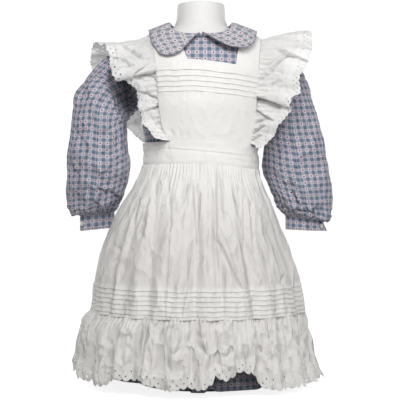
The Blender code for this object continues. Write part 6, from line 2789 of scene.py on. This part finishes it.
BIB_CREASES = (
    Crease((-0.079, 0.496), (-0.064, 0.486), 0.0018, 0.0010),
    Crease((-0.078, 0.445), (-0.060, 0.436), 0.0018, 0.0010),
    Crease((-0.048, 0.415), (-0.040, 0.402), 0.0022, 0.0014),
    Crease((-0.034, 0.418), (-0.031, 0.400), 0.0020, 0.0012),
    Crease((-0.020, 0.412), (-0.021, 0.400), 0.0020, 0.0010),
    Crease((-0.005, 0.435), (-0.004, 0.415), 0.0030, 0.0010),
    Crease((0.056, 0.445), (0.066, 0.400), 0.0032, 0.0014),
    Crease((0.070, 0.452), (0.080, 0.405), 0.0032, 0.0014),
)
WAISTBAND_CREASES = (
    Crease((0.081, 0.392), (0.090, 0.370), 0.0020, 0.0026),
    Crease((0.074, 0.388), (0.081, 0.370), 0.0018, 0.0018),
    Crease((0.090, 0.386), (0.093, 0.364), 0.0018, 0.0020),
    Crease((-0.080, 0.388), (-0.064, 0.384), 0.0018, 0.0008),
    Fold((-0.094, 0.3800), (-0.046, 0.3855), 0.0026, 0.0011, 1.5, 0.0006),
    Fold((-0.060, 0.3850), (0.094, 0.3690), 0.0026, 0.0012, 1.5, 0.0006),
    Fold((0.040, 0.3670), (0.092, 0.3590), 0.0022, 0.0008, 1.5, 0.0004),
    Crease((-0.086, 0.3800), (-0.080, 0.3660), 0.0018, 0.0012),
    Crease((-0.070, 0.3800), (-0.066, 0.3680), 0.0018, 0.0009),
)
LEFT_SLEEVE_HOLLOWS = (
    Crease((-0.133, 0.534), (-0.112, 0.432), 0.0130, 0.0760),
    Crease((-0.154, 0.510), (-0.124, 0.456), 0.0070, 0.0240),
)
RIGHT_SLEEVE_HOLLOWS = (
    Crease((0.118, 0.450), (0.100, 0.385), 0.0060, 0.0120),
)
LEFT_SLEEVE_CREASES = (
    Crease((-0.205, 0.440), (-0.180, 0.475), 0.0050, 0.0030, 1.6),
    Crease((-0.210, 0.400), (-0.165, 0.432), 0.0050, 0.0028, 1.6),
    Crease((-0.160, 0.440), (-0.130, 0.415), 0.0050, 0.0030, 1.5),
    Crease((-0.215, 0.350), (-0.175, 0.342), 0.0055, 0.0026, 1.5),
    Crease((-0.150, 0.370), (-0.125, 0.395), 0.0050, 0.0028, 1.5),
    Crease((-0.190, 0.330), (-0.182, 0.290), 0.0045, 0.0030, 1.5),
    Fold((-0.172, 0.322), (-0.152, 0.312), 0.0040, 0.0070, 1.6, 0.0026),
    Fold((-0.166, 0.342), (-0.150, 0.352), 0.0036, 0.0060, 1.6, 0.0024),
    Fold((-0.150, 0.318), (-0.134, 0.302), 0.0036, 0.0060, 1.6, 0.0024),
    Fold((-0.208, 0.352), (-0.196, 0.338), 0.0034, 0.0060, 1.6, 0.0024),
    Fold((-0.180, 0.300), (-0.160, 0.288), 0.0034, 0.0060, 1.6, 0.0024),
    Crease((-0.207, 0.320), (-0.200, 0.288), 0.0045, 0.0028, 1.5),
    Crease((-0.150, 0.335), (-0.154, 0.298), 0.0045, 0.0026, 1.5),
)
RIGHT_SLEEVE_CREASES = (
    Crease((0.190, 0.400), (0.150, 0.425), 0.0050, 0.0030, 1.6),
    Crease((0.130, 0.420), (0.155, 0.450), 0.0050, 0.0030, 1.6),
    Crease((0.115, 0.365), (0.150, 0.385), 0.0050, 0.0028, 1.6),
    Crease((0.200, 0.345), (0.165, 0.352), 0.0055, 0.0026, 1.5),
    Crease((0.150, 0.330), (0.158, 0.290), 0.0045, 0.0030, 1.5),
    Crease((0.172, 0.325), (0.172, 0.283), 0.0045, 0.0030, 1.5),
    Crease((0.192, 0.320), (0.188, 0.278), 0.0045, 0.0030, 1.5),
    Crease((0.206, 0.310), (0.203, 0.278), 0.0040, 0.0026, 1.5),
    Fold((0.146, 0.320), (0.165, 0.288), 0.0034, 0.0080, 1.6, 0.0030),
    Fold((0.170, 0.296), (0.182, 0.277), 0.0030, 0.0070, 1.6, 0.0024),
    Fold((0.180, 0.278), (0.196, 0.297), 0.0030, 0.0070, 1.6, 0.0024),
    Fold((0.150, 0.2865), (0.176, 0.2815), 0.0030, 0.0080, 1.6, 0.0024),
    Fold((0.138, 0.292), (0.156, 0.279), 0.0030, 0.0070, 1.6, 0.0024),
    Fold((0.124, 0.316), (0.136, 0.290), 0.0030, 0.0060, 1.6, 0.0020),
    Crease((0.196, 0.290), (0.208, 0.276), 0.0032, 0.0044, 1.6),
)
LEFT_RUFFLE_CREASES = (
    Fold((-0.140, 0.489), (-0.062, 0.508), 0.0060, 0.0100, 2.0, 0.0050),
    Fold((-0.156, 0.538), (-0.104, 0.514), 0.0040, 0.0070, 1.8, 0.0034),
    Fold((-0.132, 0.552), (-0.088, 0.526), 0.0036, 0.0060, 1.8, 0.0030),
    Fold((-0.146, 0.508), (-0.112, 0.520), 0.0040, 0.0060, 1.6, 0.0030),
    Fold((-0.112, 0.498), (-0.080, 0.520), 0.0034, 0.0050, 1.6, 0.0020),
    Fold((-0.100, 0.476), (-0.066, 0.462), 0.0036, 0.0060, 1.8, 0.0030),
    Fold((-0.098, 0.440), (-0.064, 0.452), 0.0034, 0.0056, 1.8, 0.0030),
    Crease((-0.104, 0.490), (-0.084, 0.503), 0.0026, 0.0070, 1.6),
    Crease((-0.085, 0.503), (-0.066, 0.488), 0.0026, 0.0070, 0.8),
    Crease((-0.140, 0.521), (-0.108, 0.512), 0.0030, 0.0050, 1.6),
    Crease((-0.124, 0.538), (-0.090, 0.522), 0.0030, 0.0044, 0.8),
    Crease((-0.100, 0.528), (-0.072, 0.522), 0.0026, 0.0040, 1.2),
    Crease((-0.084, 0.456), (-0.062, 0.450), 0.0022, 0.0050, 1.4),
    Crease((-0.082, 0.444), (-0.060, 0.447), 0.0022, 0.0046, 1.2),
    Crease((-0.092, 0.474), (-0.072, 0.468), 0.0024, 0.0036, 1.2),
    Crease((-0.084, 0.436), (-0.064, 0.414), 0.0026, 0.0036, 1.4),
    Crease((-0.072, 0.432), (-0.054, 0.404), 0.0026, 0.0034, 1.4),
)
RIGHT_RUFFLE_CREASES = (
    Fold((0.118, 0.546), (0.186, 0.516), 0.0050, 0.0140, 2.6, 0.0050),
    Fold((0.094, 0.492), (0.146, 0.544), 0.0028, 0.0090, 2.2, 0.0036),
    Fold((0.106, 0.514), (0.134, 0.540), 0.0024, 0.0050, 2.0, 0.0020),
    Crease((0.104, 0.490), (0.138, 0.508), 0.0026, 0.0050, 1.6),
    Fold((0.082, 0.470), (0.158, 0.440), 0.0070, 0.0130, 2.6, 0.0080),
    Crease((0.098, 0.466), (0.118, 0.490), 0.0028, 0.0060, 1.6),
    Crease((0.112, 0.484), (0.132, 0.490), 0.0024, 0.0044, 1.4),
    Crease((0.104, 0.512), (0.138, 0.504), 0.0026, 0.0040, 1.0),
    Crease((0.104, 0.540), (0.140, 0.562), 0.0030, 0.0034, 1.6),
    Fold((0.088, 0.447), (0.118, 0.426), 0.0030, 0.0070, 2.0, 0.0034),
    Fold((0.085, 0.424), (0.110, 0.436), 0.0028, 0.0060, 2.0, 0.0026),
    Fold((0.079, 0.407), (0.104, 0.422), 0.0028, 0.0060, 2.0, 0.0026),
    Fold((0.077, 0.396), (0.098, 0.407), 0.0026, 0.0050, 2.0, 0.0022),
    Crease((0.110, 0.456), (0.126, 0.444), 0.0024, 0.0040, 1.2),
)
RUFFLE_BACK_CREASES = (
    Fold((-0.078, 0.500), (-0.122, 0.528), 0.0050, 0.0100, 2.0, 0.0050),
    Fold((-0.130, 0.450), (-0.080, 0.466), 0.0050, 0.0100, 2.0, 0.0050),
    Crease((-0.074, 0.440), (-0.110, 0.425), 0.0030, 0.0060, 1.6),
    Crease((-0.120, 0.550), (-0.170, 0.535), 0.0034, 0.0070, 1.6),
    Fold((0.136, 0.520), (0.088, 0.495), 0.0050, 0.0100, 2.0, 0.0050),
    Fold((0.084, 0.462), (0.128, 0.448), 0.0050, 0.0100, 2.0, 0.0050),
    Crease((0.080, 0.435), (0.112, 0.420), 0.0030, 0.0060, 1.6),
    Crease((0.120, 0.555), (0.160, 0.540), 0.0034, 0.0070, 1.6),
)
GREY_SEWN = ("collar", "bodice_back", "dress_skirt", "sleeve_left", "sleeve_right", "cuff_left_cloth",
             "cuff_right_cloth")


def note_size(sizes: dict[str, object], stage: str) -> None:
    """Notes the visual model's bounds at a stage."""
    sizes[stage] = [list(map(float, corner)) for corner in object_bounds()]


def build_dress() -> None:
    """Builds the print dress."""
    Bodice().build()
    DressSkirt().build()
    Sleeve(Side.LEFT, LEFT_SLEEVE_CREASES, LEFT_SLEEVE_HOLLOWS).build()
    Sleeve(Side.RIGHT, RIGHT_SLEEVE_CREASES, RIGHT_SLEEVE_HOLLOWS).build()
    Cuff(Side.LEFT, outer_x=0.2055, inner_x=0.1470, middle_y=0.048, top=(0.2735, 0.2795),
         bottom=(0.2472, 0.2532), lapped_end=np.radians(-64)).build()
    Cuff(Side.RIGHT, outer_x=0.2005, inner_x=0.1420, middle_y=0.030, top=(0.2655, 0.2755),
         bottom=(0.2480, 0.2505), lapped_end=np.radians(76), flare=0.0100, height=0.020).build()
    Collar(Side.LEFT, Curve((0, 30, 60, 177), (0.0, 0.0008, 0.0, 0.0))).build()
    lifted = Curve((0, 14, 34, 70, 177), (0.0010, 0.0060, 0.0065, 0.0010, 0.0))
    Collar(Side.RIGHT, lifted, turn=np.radians(36)).build()


def build_pinafore() -> None:
    """Builds the white pinafore."""
    lines = {side: RuffleLine(side) for side in Side}
    Bib(BIB_CREASES).build(lines)
    BackStrap(Side.LEFT, waist_x=-0.018, chest_x=-0.026, ridge_x=-0.058, width=0.05).build(lines[Side.LEFT])
    BackStrap(Side.RIGHT, waist_x=0.022, chest_x=0.030, ridge_x=0.065, width=0.06).build(lines[Side.RIGHT])
    Ruffle(Side.LEFT, LEFT_RUFFLE_CREASES, RUFFLE_BACK_CREASES, sag=1.9).build(lines[Side.LEFT])
    Ruffle(Side.RIGHT, RIGHT_RUFFLE_CREASES, RUFFLE_BACK_CREASES, dents=0.0018,
           ragged=0.0016).build(lines[Side.RIGHT])
    Waistband(WAISTBAND_CREASES).build()
    PinaforeSkirt(SKIRT_CREASES, SKIRT_BACK_CREASES).build()
    Flounce(FLOUNCE_CREASES).build()


def main() -> None:
    """Builds the garment on its form, then the studio."""
    logging.basicConfig(level=logging.INFO, format="%(message)s", stream=sys.stdout)
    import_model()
    sizes: dict[str, object] = {}
    note_size(sizes, "cad")
    DressForm().build()
    build_dress()
    build_pinafore()
    NOTIONS.lay(GREY_SEWN)
    Studio().build()
    note_size(sizes, "dressed")


if __name__ == "__main__":
    main()
